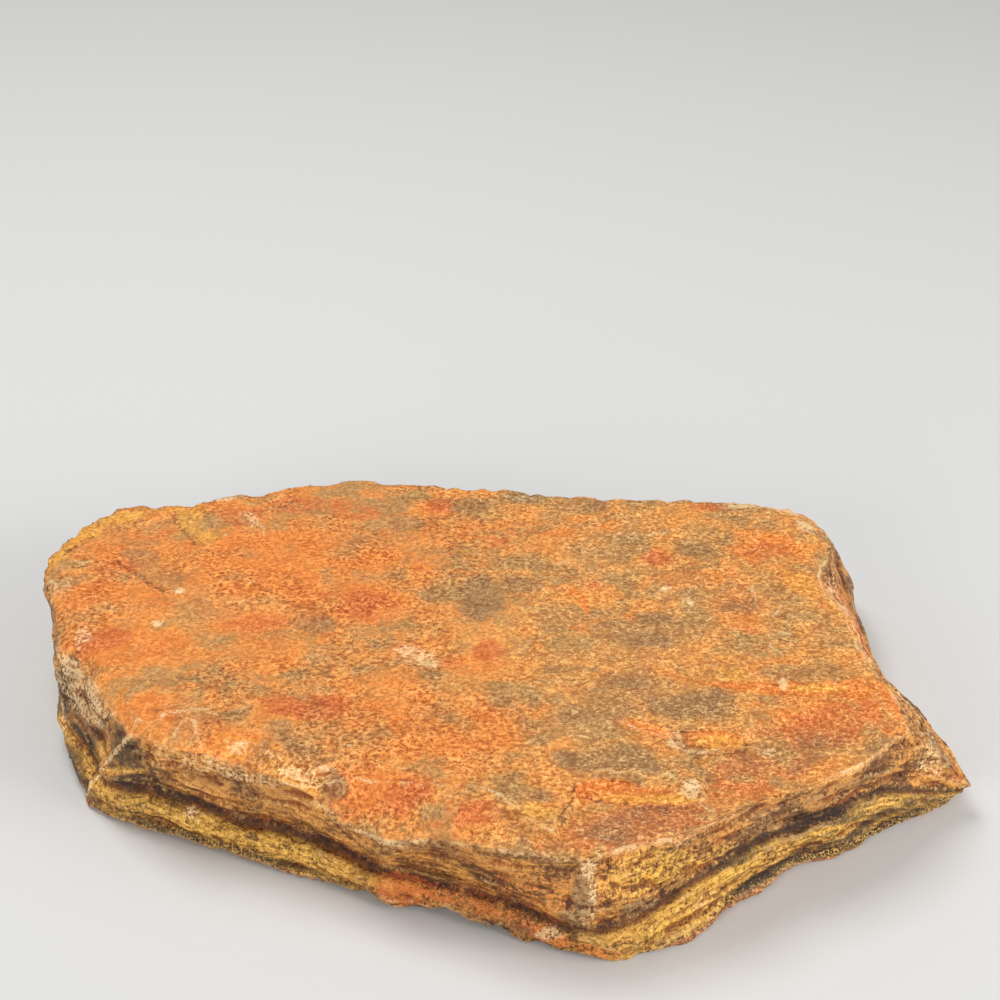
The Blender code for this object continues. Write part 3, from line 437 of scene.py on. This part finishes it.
def relaxed(places, edges, rounds, pinned=None):
    """The points after each but the pinned has moved to its neighbours' middle a number of times."""
    first, second = edges[:, 0], edges[:, 1]
    count = np.bincount(first, minlength=len(places)) + np.bincount(second, minlength=len(places))
    for _ in range(rounds):
        columns = []
        for axis in range(3):
            column = places[:, axis]
            near = np.bincount(first, weights=column[second], minlength=len(places))
            near += np.bincount(second, weights=column[first], minlength=len(places))
            middle = near / count
            columns.append(middle if pinned is None else np.where(pinned, column, middle))
        places = np.column_stack(columns)
    return places


def without_spikes(places, edges):
    """The points, with each that stands out much further than its neighbours do drawn back."""
    for _ in range(SPIKE_ROUNDS):
        middle = relaxed(places, edges, 1)
        height = np.linalg.norm(places - middle, axis=1)
        usual = relaxed(np.column_stack([height] * 3), edges, 1)[:, 0]
        places = np.where((height - usual > SPIKE)[:, None], middle, places)
    return places


def nearest_on_line(places, line):
    """For a closed line in plan: distance, side (1 inside), and the fractional corner number."""
    x, y = places[:, 0], places[:, 1]
    nearest = np.full(len(places), np.inf)
    number = np.zeros(len(places))
    inside = np.zeros(len(places), dtype=bool)
    for i in range(len(line)):
        ax, ay = line[i]
        bx, by = line[(i + 1) % len(line)]
        dx, dy = bx - ax, by - ay
        along = np.clip(((x - ax) * dx + (y - ay) * dy) / (dx * dx + dy * dy), 0.0, 1.0)
        distance = np.hypot(x - ax - along * dx, y - ay - along * dy)
        closer = distance < nearest
        nearest = np.where(closer, distance, nearest)
        number = np.where(closer, i + along, number)
        if dy != 0.0:
            crosses = (ay > y) != (by > y)
            inside ^= crosses & (x < ax + (y - ay) * dx / dy)
    return nearest, inside, number


def gap_to_lines(u, v, lines):
    """The distance to the nearest of a list of open lines, at most LINE_REACH."""
    nearest = np.full(len(u), LINE_REACH)
    for line in lines:
        for (ax, ay), (bx, by) in zip(line, line[1:]):
            dx, dy = bx - ax, by - ay
            along = np.clip(((u - ax) * dx + (v - ay) * dy) / (dx * dx + dy * dy), 0.0, 1.0)
            nearest = np.minimum(nearest, np.hypot(u - ax - along * dx, v - ay - along * dy))
    return nearest


def rim_height(around, from_rim, heights):
    """How high the rim is at each distance round the stone, found in steps."""
    step = 2.0
    steps = np.arange(0.0, around.max() + step, step)
    highest = np.zeros(len(steps))
    near = np.abs(from_rim) < RIM_REACH
    np.maximum.at(highest, np.rint(around[near] / step).astype(int), heights[near])
    found = highest > LOWEST_RIM
    return np.interp(around, steps[found], highest[found])


class Lay:
    """Where each point of the stone lies: on top or on the walls, how far round and how high."""

    def __init__(self, places, normals):
        walls = np.array(WALLS)
        rim_gap, rim_inside = nearest_on_line(places, walls[:, 0:2])[:2]
        self.from_rim = np.where(rim_inside, rim_gap, -rim_gap)
        number = nearest_on_line(places, walls[:, 2:4])[2]
        corners = np.vstack([walls, walls[:1]])
        steps = np.hypot(*np.diff(corners[:, 2:4], axis=0).T)
        travelled = np.concatenate([[0.0], np.cumsum(steps)])
        numbers = np.arange(len(corners))
        round_length = travelled[-1]
        self.around = np.interp(number, numbers, travelled)
        behind = self.around > 0.5 * round_length
        self.from_corner = np.where(behind, self.around - round_length, self.around)
        drift = LAYER_DRIFT * wave(places + np.array(DRIFT_SHIFT), DRIFT_LENGTH, DRIFT_SEED)
        self.above_dark = places[:, 2] - np.interp(number, numbers, corners[:, 4]) + drift
        self.above_low = places[:, 2] - np.interp(number, numbers, corners[:, 5])
        strengths = np.array(LAYER_STRENGTH, dtype=float)
        self.gold, self.dark, self.low, self.pale_edge = (
            np.interp(self.around, strengths[:, 0], strengths[:, column]) for column in range(1, 5))
        wobble = 0.7 * wave(places, 2.6, 5)
        outside = eased((0.7 - self.from_rim + wobble) / 1.6)
        steep = eased((0.5 - normals[:, 2]) / 0.3)
        steep = steep * (places[:, 2] < STEEP_TOP + wobble) * (self.from_rim < STEEP_REACH)
        ledge = eased((LEDGE_TOP - places[:, 2]) / 3.0)
        self.wall = np.maximum(np.maximum(outside, steep), ledge)
        self.below_rim = rim_height(self.around, self.from_rim, places[:, 2]) - places[:, 2]
        self.base = eased((-normals[:, 2] - 0.55) / 0.3) * (places[:, 2] < 2.0 * BASE_HEIGHT)
        wander = np.column_stack([0.9 * wave(places, 3.5, 71), 0.9 * wave(places, 3.5, 72)])
        x, y = (places[:, :2] + wander).T
        u, v = self.from_corner + wander[:, 0], places[:, 2] + 0.6 * wander[:, 1]
        on_wall = self.wall > 0.5
        self.lip = np.where(on_wall, gap_to_lines(u, v, WALL_LIPS), gap_to_lines(x, y, TOP_LIPS))
        # Distance to the dark cracks and to the lines of painted shadow below steps and plates.
        self.crack_and_shade_line = np.where(on_wall, gap_to_lines(u, v, WALL_CRACKS_AND_SHADES), gap_to_lines(x, y, TOP_CRACKS_AND_SHADES))
        self.ridge = np.where(on_wall, gap_to_lines(u - 0.5 * wander[:, 0], v, WALL_RIDGES), LINE_REACH)


# --- Relief -------------------------------------------------------------------
def top_relief(places):
    """Grain and thin flakes of the split face."""
    flat = places * np.array((1.0, 1.5, 1.0))
    leaves = 2.4 * wave(flat, 24.0, 41) + 0.5 * wave(flat, 6.0, 42)
    leaf = np.floor(leaves)
    flakes = leaf + eased((leaves - leaf - 0.72) / 0.28)
    grain = 0.14 * wave(flat, 6.5, 43) + 0.12 * wave(places, 3.1, 44)
    return FLAKE_HEIGHT * flakes + grain + 0.09 * wave(flat, 1.9, 45)


def wall_relief(places, lay):
    """Broken plates of the thin layers, the grooves of the dark ones and the folds in the gold silk."""
    height = lay.above_dark / PLATE_THICKNESS + 0.8 * wave(places, 21.0, 50)
    plate = np.floor(height)
    in_plate = np.column_stack([places[:, 0] / 13.0, places[:, 1] / 13.0, plate * 7.31])
    plates = 0.75 * wave(in_plate, 1.0, 51) + 0.45 * (height - plate)
    along = np.column_stack([places[:, 0] / 6.0, places[:, 1] / 6.0, lay.above_dark / 0.9])
    thin = 0.3 * wave(along, 1.0, 55)
    lumps = 0.4 * wave(places, 6.5, 52) + 0.2 * wave(places, 2.4, 53)
    groove = -SEAM_DEPTH * lay.dark * np.exp(-((lay.above_dark + 0.3) / 0.9) ** 2)
    low_groove = -LOW_SEAM_DEPTH * lay.low * np.exp(-(lay.above_low / 1.1) ** 2)
    between = eased((-lay.above_dark - 1.0) / 1.5) * eased((lay.above_low - 0.5) / 1.5) * lay.gold
    folds = np.sin(1.9 * lay.above_dark + 0.5 * lay.around + 4.5 * wave(places, 14.0, 54))
    folds *= 0.5 + 0.5 * wave(places, 9.0, 56)
    plates = (plates + thin) * (1.0 - 0.7 * between)
    return plates + lumps + groove + low_groove + FOLD_HEIGHT * between * folds


def line_relief(lay):
    """Low lips, cracks, and the ridge with its hollows."""
    lip_height = TOP_LIP_HEIGHT + (WALL_LIP_HEIGHT - TOP_LIP_HEIGHT) * lay.wall
    lips = lip_height * np.exp(-(lay.lip / LINE_WIDTH) ** 2)
    cracks = CRACK_DEPTH * np.exp(-(lay.crack_and_shade_line / LINE_WIDTH) ** 2)
    ridge = RIDGE_HEIGHT * np.exp(-(lay.ridge / LINE_WIDTH) ** 2)
    hollows = RIDGE_HOLLOW * np.exp(-((lay.ridge - 3.0) / 1.4) ** 2)
    return lips - cracks + ridge - hollows


def give_relief(mesh):
    """Moves the mesh's points out and in along their directions."""
    places, normals = places_of(mesh), normals_of(mesh)
    lay = Lay(places, relaxed(normals, edges_of(mesh), 2))
    top = top_relief(places) * (1.0 - lay.wall)
    wall = wall_relief(places, lay) * lay.wall
    near_foot = eased(places[:, 2] / 1.5)
    relief = (top + wall + line_relief(lay)) * (1.0 - lay.base) * near_foot
    moved = places + normals * relief[:, None]
    moved = without_spikes(moved, edges_of(mesh))
    moved[:, 2] = np.maximum(moved[:, 2], 0.0)
    put_places(mesh, moved)


# --- Marks --------------------------------------------------------------------
def put_mark(mesh, name, values):
    layer = mesh.attributes.new(name, "FLOAT", "POINT")
    layer.data.foreach_set("value", np.ascontiguousarray(values, dtype=np.float32))


def give_marks(mesh):
    """Marks every point with what covers it, for the material to read."""
    places, normals = places_of(mesh), normals_of(mesh)
    edges = edges_of(mesh)
    lay = Lay(places, relaxed(normals, edges, 3))
    sharp = np.sum((places - relaxed(places, edges, 5)) * normals, axis=1)
    broad = np.sum((places - relaxed(places, edges, 26)) * normals, axis=1)
    edge = eased((sharp - 0.22) / 0.3) * (1.0 - lay.base)
    # Painted shade: the hollows of the relief are marked for darkening, most on the walls.
    hollow = eased((-0.6 * sharp - 0.5 * broad - 0.06) / 0.3) * (0.25 + 0.75 * lay.wall)

    ragged_u = 4.5 * wave(places, 11.0, 61) + 2.0 * wave(places, 4.0, 62)
    ragged_v = 4.5 * wave(places, 11.0, 63) + 2.0 * wave(places, 4.0, 64)
    for name in MARKS:
        on_top = spread(places[:, 0], places[:, 1], TOP_MARKS.get(name, []), ragged_u, ragged_v)
        if name == "rust":
            turned = eased((RUST_TURNS_AT - places[:, 0] + 18.0 * wave(places, 40.0, 65)) / 36.0 + 0.5)
            ground = RUST_RIGHT + (RUST_LEFT - RUST_RIGHT) * turned
            on_top = np.clip(on_top * (1.0 - 0.5 * ground) + ground, 0.0, 1.0)
        on_wall = spread(
            lay.from_corner, places[:, 2], WALL_MARKS.get(name, []), 0.5 * ragged_u, 0.3 * ragged_v)
        if name == "bruise":
            on_wall = np.maximum(on_wall, 0.8 * eased((1.1 - lay.ridge) / 1.0))
        put_mark(mesh, name, on_top * (1.0 - lay.wall) + on_wall * lay.wall)
    # hollow is a mask of painted shade, and the crack marks also carry lines of painted shadow.
    for name, values in (
            ("wall", np.maximum(lay.wall, lay.base)), ("hollow", hollow), ("edge", edge),
            ("above_dark", lay.above_dark), ("above_low", lay.above_low),
            ("layer_gold", lay.gold), ("layer_dark", lay.dark), ("layer_low", lay.low),
            ("from_rim", np.clip(lay.from_rim, -LINE_REACH, LINE_REACH)),
            ("rim_worn", lay.pale_edge * eased((2.0 - lay.below_rim) / 1.4)),
            ("lip", lay.lip), ("crack_and_shade_line", lay.crack_and_shade_line)):
        put_mark(mesh, name, values)


# --- Material -----------------------------------------------------------------
class Bench:
    """Short names for building a material's nodes."""

    def __init__(self, name):
        self.material = bpy.data.materials.new(name)
        self.material.use_nodes = True
        self.tree = self.material.node_tree
        self.shader = self.tree.nodes["Principled BSDF"]
        self.object_place = self.tree.nodes.new("ShaderNodeTexCoord").outputs["Object"]

    def node(self, kind, inputs, **settings):
        made = self.tree.nodes.new(kind)
        for key, value in settings.items():
            setattr(made, key, value)
        for key, value in inputs.items():
            if isinstance(value, bpy.types.NodeSocket):
                self.tree.links.new(value, made.inputs[key])
            else:
                made.inputs[key].default_value = value
        return made

    def mark(self, name):
        return self.node("ShaderNodeAttribute", {}, attribute_name=name).outputs["Fac"]

    def place(self, stretch=(1.0, 1.0, 1.0), turn=0.0):
        """Millimetres on the stone, divided by a stretch along each axis."""
        scale = tuple(1000.0 / part for part in stretch)
        inputs = {"Vector": self.object_place, "Scale": scale, "Rotation": (0.0, 0.0, math.radians(turn))}
        return self.node("ShaderNodeMapping", inputs).outputs["Vector"]

    def grain(self, size, detail=3.0, roughness=0.55, twist=0.0, where=None):
        """Noise around 0.5 with lumps of the given size in millimetres."""
        where = where if where is not None else self.place()
        inputs = {"Vector": where, "Scale": 1.0 / size, "Detail": detail,
                  "Roughness": roughness, "Distortion": twist}
        return self.node("ShaderNodeTexNoise", inputs).outputs["Fac"]

    def sum(self, operation, first, second=0.0, third=0.0, clamp=False):
        made = self.node("ShaderNodeMath", {0: first, 1: second, 2: third}, operation=operation)
        made.use_clamp = clamp
        return made.outputs[0]

    def add(self, first, second):
        return self.sum("ADD", first, second)

    def times(self, first, second):
        return self.sum("MULTIPLY", first, second)

    def between(self, value, low, high, low_out=0.0, high_out=1.0):
        """A soft step from low_out at low to high_out at high."""
        inputs = {"Value": value, "From Min": low, "From Max": high, "To Min": low_out, "To Max": high_out}
        made = self.node("ShaderNodeMapRange", inputs, interpolation_type="SMOOTHSTEP")
        return made.outputs["Result"]

    def ramp(self, value, low, high):
        """0 at low to 1 at high in a straight line."""
        inputs = {"Value": value, "From Min": low, "From Max": high}
        return self.node("ShaderNodeMapRange", inputs).outputs["Result"]

    def gap(self, value, centre):
        """How far the value is from the centre."""
        return self.sum("ABSOLUTE", self.sum("SUBTRACT", value, centre))

    def bump_at(self, value, centre, width):
        """1 where the value is at the centre, falling softly to 0 at the width."""
        return self.between(self.gap(value, centre), width, 0.25 * width)

    def mix_number(self, share, first, second):
        return self.node("ShaderNodeMix", {0: share, 2: first, 3: second}).outputs[0]

    def mix(self, share, first, second, blend="MIX"):
        inputs = {0: share, 6: first, 7: second}
        made = self.node("ShaderNodeMix", inputs, data_type="RGBA", blend_type=blend)
        return made.outputs[2]


# Colours of the stone, in linear light.
OCHRE_TAN = (0.84, 0.37, 0.085, 1.0)
OLIVE_TAN = (0.50, 0.27, 0.090, 1.0)
RUST_ORANGE = (0.90, 0.27, 0.042, 1.0)
LACE_ORANGE = (1.0, 0.52, 0.16, 1.0)
LACE_TAN = (0.97, 0.62, 0.27, 1.0)
RUST_RED = (0.68, 0.155, 0.032, 1.0)
BLOOM_GREY = (0.32, 0.195, 0.085, 1.0)
GOLD = (0.90, 0.43, 0.065, 1.0)
BRUISE = (1.0, 0.76, 0.45, 1.0)
# SHADE and GLINT are painted light: SHADE darkens the dips of the grain and the hollows as painted shade,
# GLINT lightens crests and specks as painted glints.
SHADE = (0.44, 0.27, 0.15, 1.0)
GLINT = (0.24, 0.17, 0.065, 1.0)
# Dark cracks, and painted shadow below steps and plates.
CRACK_AND_SHADE = (0.16, 0.055, 0.018, 1.0)
WALL_BROWN = (0.20, 0.075, 0.013, 1.0)
WALL_OCHRE = (0.78, 0.34, 0.070, 1.0)
SILK_GOLD = (0.52, 0.255, 0.032, 1.0)
SILK_BRIGHT = (0.98, 0.55, 0.090, 1.0)
SILK_DARK = (0.075, 0.040, 0.007, 1.0)
# The rock's dark layers, and the dark patches that are partly painted shadow.
DARK_LAYER_AND_SHADE = (0.040, 0.022, 0.009, 1.0)
FOOT_PINK = (0.72, 0.30, 0.11, 1.0)
BUMP_DEPTH = 0.35       # the finest grain, in millimetres


class Patterns:
    """The noises that the whole stone shares, each spread over 0 to 1."""

    def __init__(self, bench):
        where = bench.node("ShaderNodeSeparateXYZ", {"Vector": bench.place()})
        self.right = bench.between(where.outputs["X"], -30.0, 45.0)
        round_place = bench.place((1.2, 1.0, 1.0), 8.0)
        long_place = bench.place((1.45, 1.0, 1.0), 5.0)
        self.crinkle = bench.ramp(bench.grain(1.15, 4.0, 0.62, 0.4, round_place), 0.37, 0.63)
        self.mottle = bench.ramp(bench.grain(11.0, 4.0, 0.6, 0.4, round_place), 0.36, 0.64)
        self.rough = bench.ramp(bench.grain(24.0, 3.0, 0.5), 0.38, 0.6)
        self.fleck = bench.ramp(bench.grain(0.55, 2.0, 0.6), 0.32, 0.68)
        self.grit = bench.ramp(bench.grain(0.3, 1.0, 0.5), 0.32, 0.68)
        self.wrinkle = bench.mix_number(
            self.right, lace(bench, 1.55, round_place), lace(bench, 1.3, long_place))
        along = layer_place(bench, (7.0, 7.0, 1.3))
        self.sheets = bench.ramp(bench.grain(1.0, 4.0, 0.62, 0.4, along), 0.34, 0.66)
        wavy = layer_place(bench, (9.0, 9.0, 1.2))
        self.silk = bench.ramp(bench.grain(1.0, 3.0, 0.6, 1.6, wavy), 0.34, 0.66)
        across = layer_place(bench, (0.7, 0.7, 6.0))
        self.fibres = bench.ramp(bench.grain(1.0, 3.0, 0.6, 0.5, across), 0.34, 0.66)


def lace(bench, size, where):
    """A net of thin ridges round small hollows: 1 on a ridge and 0 in a hollow."""
    bend = bench.node("ShaderNodeTexNoise", {"Vector": where, "Scale": 0.8 / size, "Detail": 2.0})
    middle = bench.node(
        "ShaderNodeVectorMath", {0: bend.outputs["Color"], 1: (0.5, 0.5, 0.5)}, operation="SUBTRACT")
    bent = bench.node(
        "ShaderNodeVectorMath", {0: middle.outputs["Vector"], 1: (2.2 * size,) * 3, 2: where},
        operation="MULTIPLY_ADD")
    cells = bench.node(
        "ShaderNodeTexVoronoi", {"Vector": bent.outputs["Vector"], "Scale": 1.0 / size},
        feature="DISTANCE_TO_EDGE")
    net = bench.ramp(cells.outputs["Distance"], 0.3, 0.02)
    return bench.mix_number(bench.ramp(bench.grain(5.0 * size, 3.0, 0.6), 0.36, 0.6), 0.4, net)


def layer_place(bench, stretch):
    """A place whose height is counted from the dark layer, so that patterns follow the layers."""
    flat = bench.node("ShaderNodeSeparateXYZ", {"Vector": bench.place(stretch)})
    height = bench.times(bench.mark("above_dark"), 1.0 / stretch[2])
    inputs = {"X": flat.outputs["X"], "Y": flat.outputs["Y"], "Z": height}
    return bench.node("ShaderNodeCombineXYZ", inputs).outputs["Vector"]


def shifted(bench, level, *patterns):
    """A level moved up and down by (pattern, reach) pairs."""
    for pattern, reach in patterns:
        level = bench.sum("MULTIPLY_ADD", bench.sum("SUBTRACT", pattern, 0.5), reach, level)
    return level


def cover(bench, level, softness, *patterns):
    """How far a mark covers the rock, its edge broken up by the patterns."""
    share = bench.between(shifted(bench, level, *patterns), 0.5 - softness, 0.5 + softness)
    return bench.times(share, bench.between(level, 0.0, 0.3))


def top_colour(bench, seen):
    """Tan rock under soft clouds of rust, with red stains, grey bloom, gold and pale bruises, and with
    painted shade in the grain's dips and painted glints on its crests and specks.
    """
    crinkle, mottle, wrinkle = seen.crinkle, seen.mottle, seen.wrinkle
    colour = bench.mix(bench.between(mottle, -0.1, 0.9), OLIVE_TAN, OCHRE_TAN)
    for name, tone, most, reach in (
            ("rust", RUST_ORANGE, 0.95, 0.55), ("red", RUST_RED, 0.8, 0.8),
            ("bloom", BLOOM_GREY, 0.8, 0.8), ("gold", GOLD, 0.85, 0.5)):
        share = cover(bench, bench.mark(name), 0.46, (mottle, reach), (crinkle, 0.1))
        colour = bench.mix(bench.times(share, most), colour, tone)

    # Painted shade and glints from the grain, in step with the bump: dips darkened, crests and specks
    # lightened.
    tone = shifted(bench, bench.times(wrinkle, 0.7), (crinkle, 0.75), (seen.fleck, 0.3))
    contrast = bench.between(shifted(bench, seen.rough, (seen.right, 0.6)), -0.2, 0.5, 0.55, 1.0)
    valley_shade = bench.between(tone, 0.7, -0.2)
    valley_shade = bench.times(bench.times(valley_shade, contrast), bench.between(seen.right, 0.0, 1.0, 1.0, 0.8))
    colour = bench.mix(valley_shade, colour, SHADE, "MULTIPLY")
    ridge = bench.between(tone, 0.4, 1.1)
    colour = bench.mix(bench.times(ridge, contrast), colour, GLINT, "ADD")
    glint_specks = shifted(bench, seen.fleck, (crinkle, 0.5), (wrinkle, 0.3), (seen.right, 0.25))
    colour = bench.mix(bench.between(glint_specks, 0.85, 1.25), colour, GLINT, "ADD")
    share = cover(bench, bench.mark("bruise"), 0.45, (wrinkle, 0.6), (mottle, 0.4), (crinkle, 0.5))
    return bench.mix(bench.times(share, 0.75), colour, bench.mix(tone, LACE_TAN, BRUISE))


def wall_colour(bench, seen):
    """Broken layers: brown above, a dark layer, gold silk, a lower dark layer and an ochre foot; dark
    patches partly of painted shadow; painted shade and glints on the fine grain.
    """
    crinkle, mottle, fleck = seen.crinkle, seen.mottle, seen.fleck
    sheets, fibres = seen.sheets, seen.fibres
    tone = shifted(bench, mottle, (sheets, 0.5), (crinkle, 0.4), (fibres, 0.25))
    upper = bench.mix(bench.between(tone, 0.0, 1.1), WALL_BROWN, WALL_OCHRE)
    tone = shifted(bench, seen.silk, (mottle, 0.4), (fibres, 0.3), (crinkle, 0.3))
    silk = bench.mix(bench.between(tone, 0.1, 1.1), SILK_GOLD, SILK_BRIGHT)
    silk = bench.mix(bench.between(tone, 0.35, -0.05, 0.0, 0.7), silk, SILK_DARK)

    height = shifted(bench, bench.mark("above_dark"), (crinkle, 1.3))
    under = bench.between(height, 0.4, -1.6)
    colour = bench.mix(bench.times(under, bench.mark("layer_gold")), upper, silk)
    seam = bench.times(bench.bump_at(height, 0.2, 2.0), bench.mark("layer_dark"))
    colour = bench.mix(bench.times(seam, 0.72), colour, DARK_LAYER_AND_SHADE)
    low = shifted(bench, bench.mark("above_low"), (crinkle, 1.6))
    colour = bench.mix(bench.between(low, -1.6, -3.0), colour, bench.mix(crinkle, WALL_BROWN, FOOT_PINK))
    low_seam = bench.times(bench.bump_at(low, -0.8, 3.0), bench.mark("layer_low"))
    colour = bench.mix(bench.times(low_seam, bench.between(fleck, 0.95, 0.35)), colour, DARK_LAYER_AND_SHADE)

    pale = bench.mix(fleck, LACE_TAN, BRUISE)
    # The dark patches among these covers are partly painted shadow.
    for name, tone, most, softness in (
            ("rust", RUST_ORANGE, 0.8, 0.4), ("red", RUST_RED, 0.85, 0.4),
            ("bloom", BLOOM_GREY, 0.8, 0.35), ("gold", SILK_BRIGHT, 0.75, 0.48),
            ("dark_patch_and_shade", DARK_LAYER_AND_SHADE, 0.9, 0.4), ("bruise", pale, 0.7, 0.35)):
        share = cover(
            bench, bench.mark(name), softness, (fibres, 0.6), (sheets, 0.5), (crinkle, 0.5), (fleck, 0.4))
        colour = bench.mix(bench.times(share, most), colour, tone)
    # Painted shade in the dips of the fine grain and painted glints on its crests, in step with the bump.
    tone = shifted(bench, crinkle, (fleck, 0.9), (seen.grit, 0.5))
    colour = bench.mix(bench.between(tone, 0.45, -0.3), colour, SHADE, "MULTIPLY")
    return bench.mix(bench.between(tone, 0.65, 1.4), colour, GLINT, "ADD")


def lines_over(bench, seen, colour):
    """Adds the dark cracks with painted shadow below steps and plates, the pale lips and the thin worn
    chips along the rim.
    """
    # Painted shadow: the crack lines also darken the places below steps and plates.
    crack_and_shade_line = bench.between(shifted(bench, bench.mark("crack_and_shade_line"), (seen.crinkle, 1.2)), 0.6, 0.1)
    colour = bench.mix(bench.times(crack_and_shade_line, 0.65), colour, CRACK_AND_SHADE)
    lip = shifted(bench, bench.mark("lip"), (seen.crinkle, 0.9), (seen.mottle, 0.6))
    lip = bench.between(lip, 0.3, 0.0)
    pale = bench.mix(seen.fleck, LACE_TAN, BRUISE)
    lip = bench.times(lip, bench.mix_number(bench.mark("wall"), 0.6, 0.3))
    colour = bench.mix(lip, colour, bench.mix(bench.mark("wall"), pale, LACE_ORANGE))
    rim = bench.bump_at(shifted(bench, bench.mark("from_rim"), (seen.crinkle, 1.6)), 0.1, 0.8)
    chips = bench.between(shifted(bench, seen.mottle, (seen.crinkle, 0.8)), 0.3, 0.85, 0.12, 1.0)
    rim = bench.times(bench.times(rim, chips), bench.mark("rim_worn"))
    colour = bench.mix(bench.times(rim, 0.85), colour, pale)
    worn = cover(bench, bench.mark("edge"), 0.25, (seen.crinkle, 0.9), (seen.fleck, 0.5))
    return bench.mix(bench.times(worn, 0.25), colour, LACE_TAN)


def tiger_eye_material():
    bench = Bench("tiger_eye_rough")
    seen = Patterns(bench)
    on_wall = bench.mark("wall")
    colour = bench.mix(on_wall, top_colour(bench, seen), wall_colour(bench, seen))

    # Painted shade darkens the hollows of the relief.
    colour = bench.mix(bench.mark("hollow"), colour, SHADE, "MULTIPLY")
    colour = lines_over(bench, seen, colour)
    bench.tree.links.new(colour, bench.shader.inputs["Base Color"])

    dull = bench.between(seen.crinkle, 0.0, 1.0, 0.8, 0.5)
    silky = bench.between(seen.fibres, 0.0, 1.0, 0.6, 0.33)
    rough = bench.mix_number(on_wall, dull, silky)
    bench.tree.links.new(rough, bench.shader.inputs["Roughness"])
    bench.shader.inputs["Specular IOR Level"].default_value = 0.4

    top_height = bench.add(bench.times(seen.crinkle, 0.5), bench.times(seen.fleck, 0.12))
    top_height = bench.add(top_height, bench.times(seen.wrinkle, 0.35))
    wall_height = bench.add(bench.times(seen.sheets, 0.7), bench.times(seen.fibres, 0.4))
    wall_height = bench.add(wall_height, bench.times(seen.crinkle, 0.5))
    wall_height = bench.add(wall_height, bench.times(seen.fleck, 0.25))
    height = bench.mix_number(on_wall, top_height, wall_height)
    bumped = bench.node("ShaderNodeBump", {"Height": height, "Strength": 1.0, "Distance": BUMP_DEPTH * MM})
    bench.tree.links.new(bumped.outputs["Normal"], bench.shader.inputs["Normal"])
    return bench.material


def finished_stone():
    mesh = close_mesh(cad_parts["stone"])
    give_relief(mesh)
    give_marks(mesh)
    mesh.shade_smooth()
    mesh.materials.clear()
    mesh.materials.append(tiger_eye_material())
    stone = bpy.data.objects.new("tiger_eye_slab", mesh)
    bpy.context.scene.collection.objects.link(stone)
    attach(stone, "root")
    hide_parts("stone")


# --- Floor, light and camera, in metres ---------------------------------------
FLOOR_SIZE = 4.0        # half its side
FLOOR_COLOUR = (0.66, 0.66, 0.65, 1.0)
SKY_STRENGTH = 0.36
# Each soft lamp is (name, place, side, power in watts) and points at the stone.
LAMPS = [
    ("above", (-0.35, 0.35, 1.1), 0.55, 7.5),
    ("right", (1.15, -0.5, 0.45), 0.7, 14.0),
    ("left", (-0.75, -1.1, 0.45), 0.7, 8.5),
]
CAMERA_PLACE = (0.0035, -0.4332, 0.370)
CAMERA_TILT = 56.91     # degrees up from straight down
LENS_LENGTH = 68.0      # in millimetres, as is the sensor's width
SENSOR_WIDTH = 36.0


def pale_floor():
    sheet = bmesh.new()
    bmesh.ops.create_grid(sheet, x_segments=1, y_segments=1, size=FLOOR_SIZE)
    mesh = bpy.data.meshes.new("floor")
    sheet.to_mesh(mesh)
    sheet.free()
    material = bpy.data.materials.new("floor_pale")
    material.use_nodes = True
    shader = material.node_tree.nodes["Principled BSDF"]
    shader.inputs["Base Color"].default_value = FLOOR_COLOUR
    shader.inputs["Roughness"].default_value = 0.9
    mesh.materials.append(material)
    floor = bpy.data.objects.new("floor", mesh)
    bpy.context.scene.collection.objects.link(floor)


def soft_lamp(name, place, side, power):
    lamp = bpy.data.lights.new(name, "AREA")
    lamp.shape = "SQUARE"
    lamp.size = side
    lamp.energy = power
    holder = bpy.data.objects.new(name, lamp)
    holder.location = place
    holder.rotation_euler = (-Vector(place)).to_track_quat("-Z", "Y").to_euler()
    bpy.context.scene.collection.objects.link(holder)


def studio():
    world = bpy.data.worlds.new("studio")
    world.use_nodes = True
    sky = world.node_tree.nodes["Background"]
    sky.inputs["Color"].default_value = (1.0, 1.0, 1.0, 1.0)
    sky.inputs["Strength"].default_value = SKY_STRENGTH
    bpy.context.scene.world = world
    for lamp in LAMPS:
        soft_lamp(*lamp)
    bpy.context.scene.view_settings.view_transform = "Standard"


def camera():
    lens = bpy.data.cameras.new("camera")
    lens.lens = LENS_LENGTH
    lens.sensor_width = SENSOR_WIDTH
    lens.clip_start = 0.01
    holder = bpy.data.objects.new("camera", lens)
    holder.location = CAMERA_PLACE
    holder.rotation_euler = (math.radians(CAMERA_TILT), 0.0, 0.0)
    bpy.context.scene.collection.objects.link(holder)
    bpy.context.scene.camera = holder


camera()
finished_stone()
pale_floor()
studio()
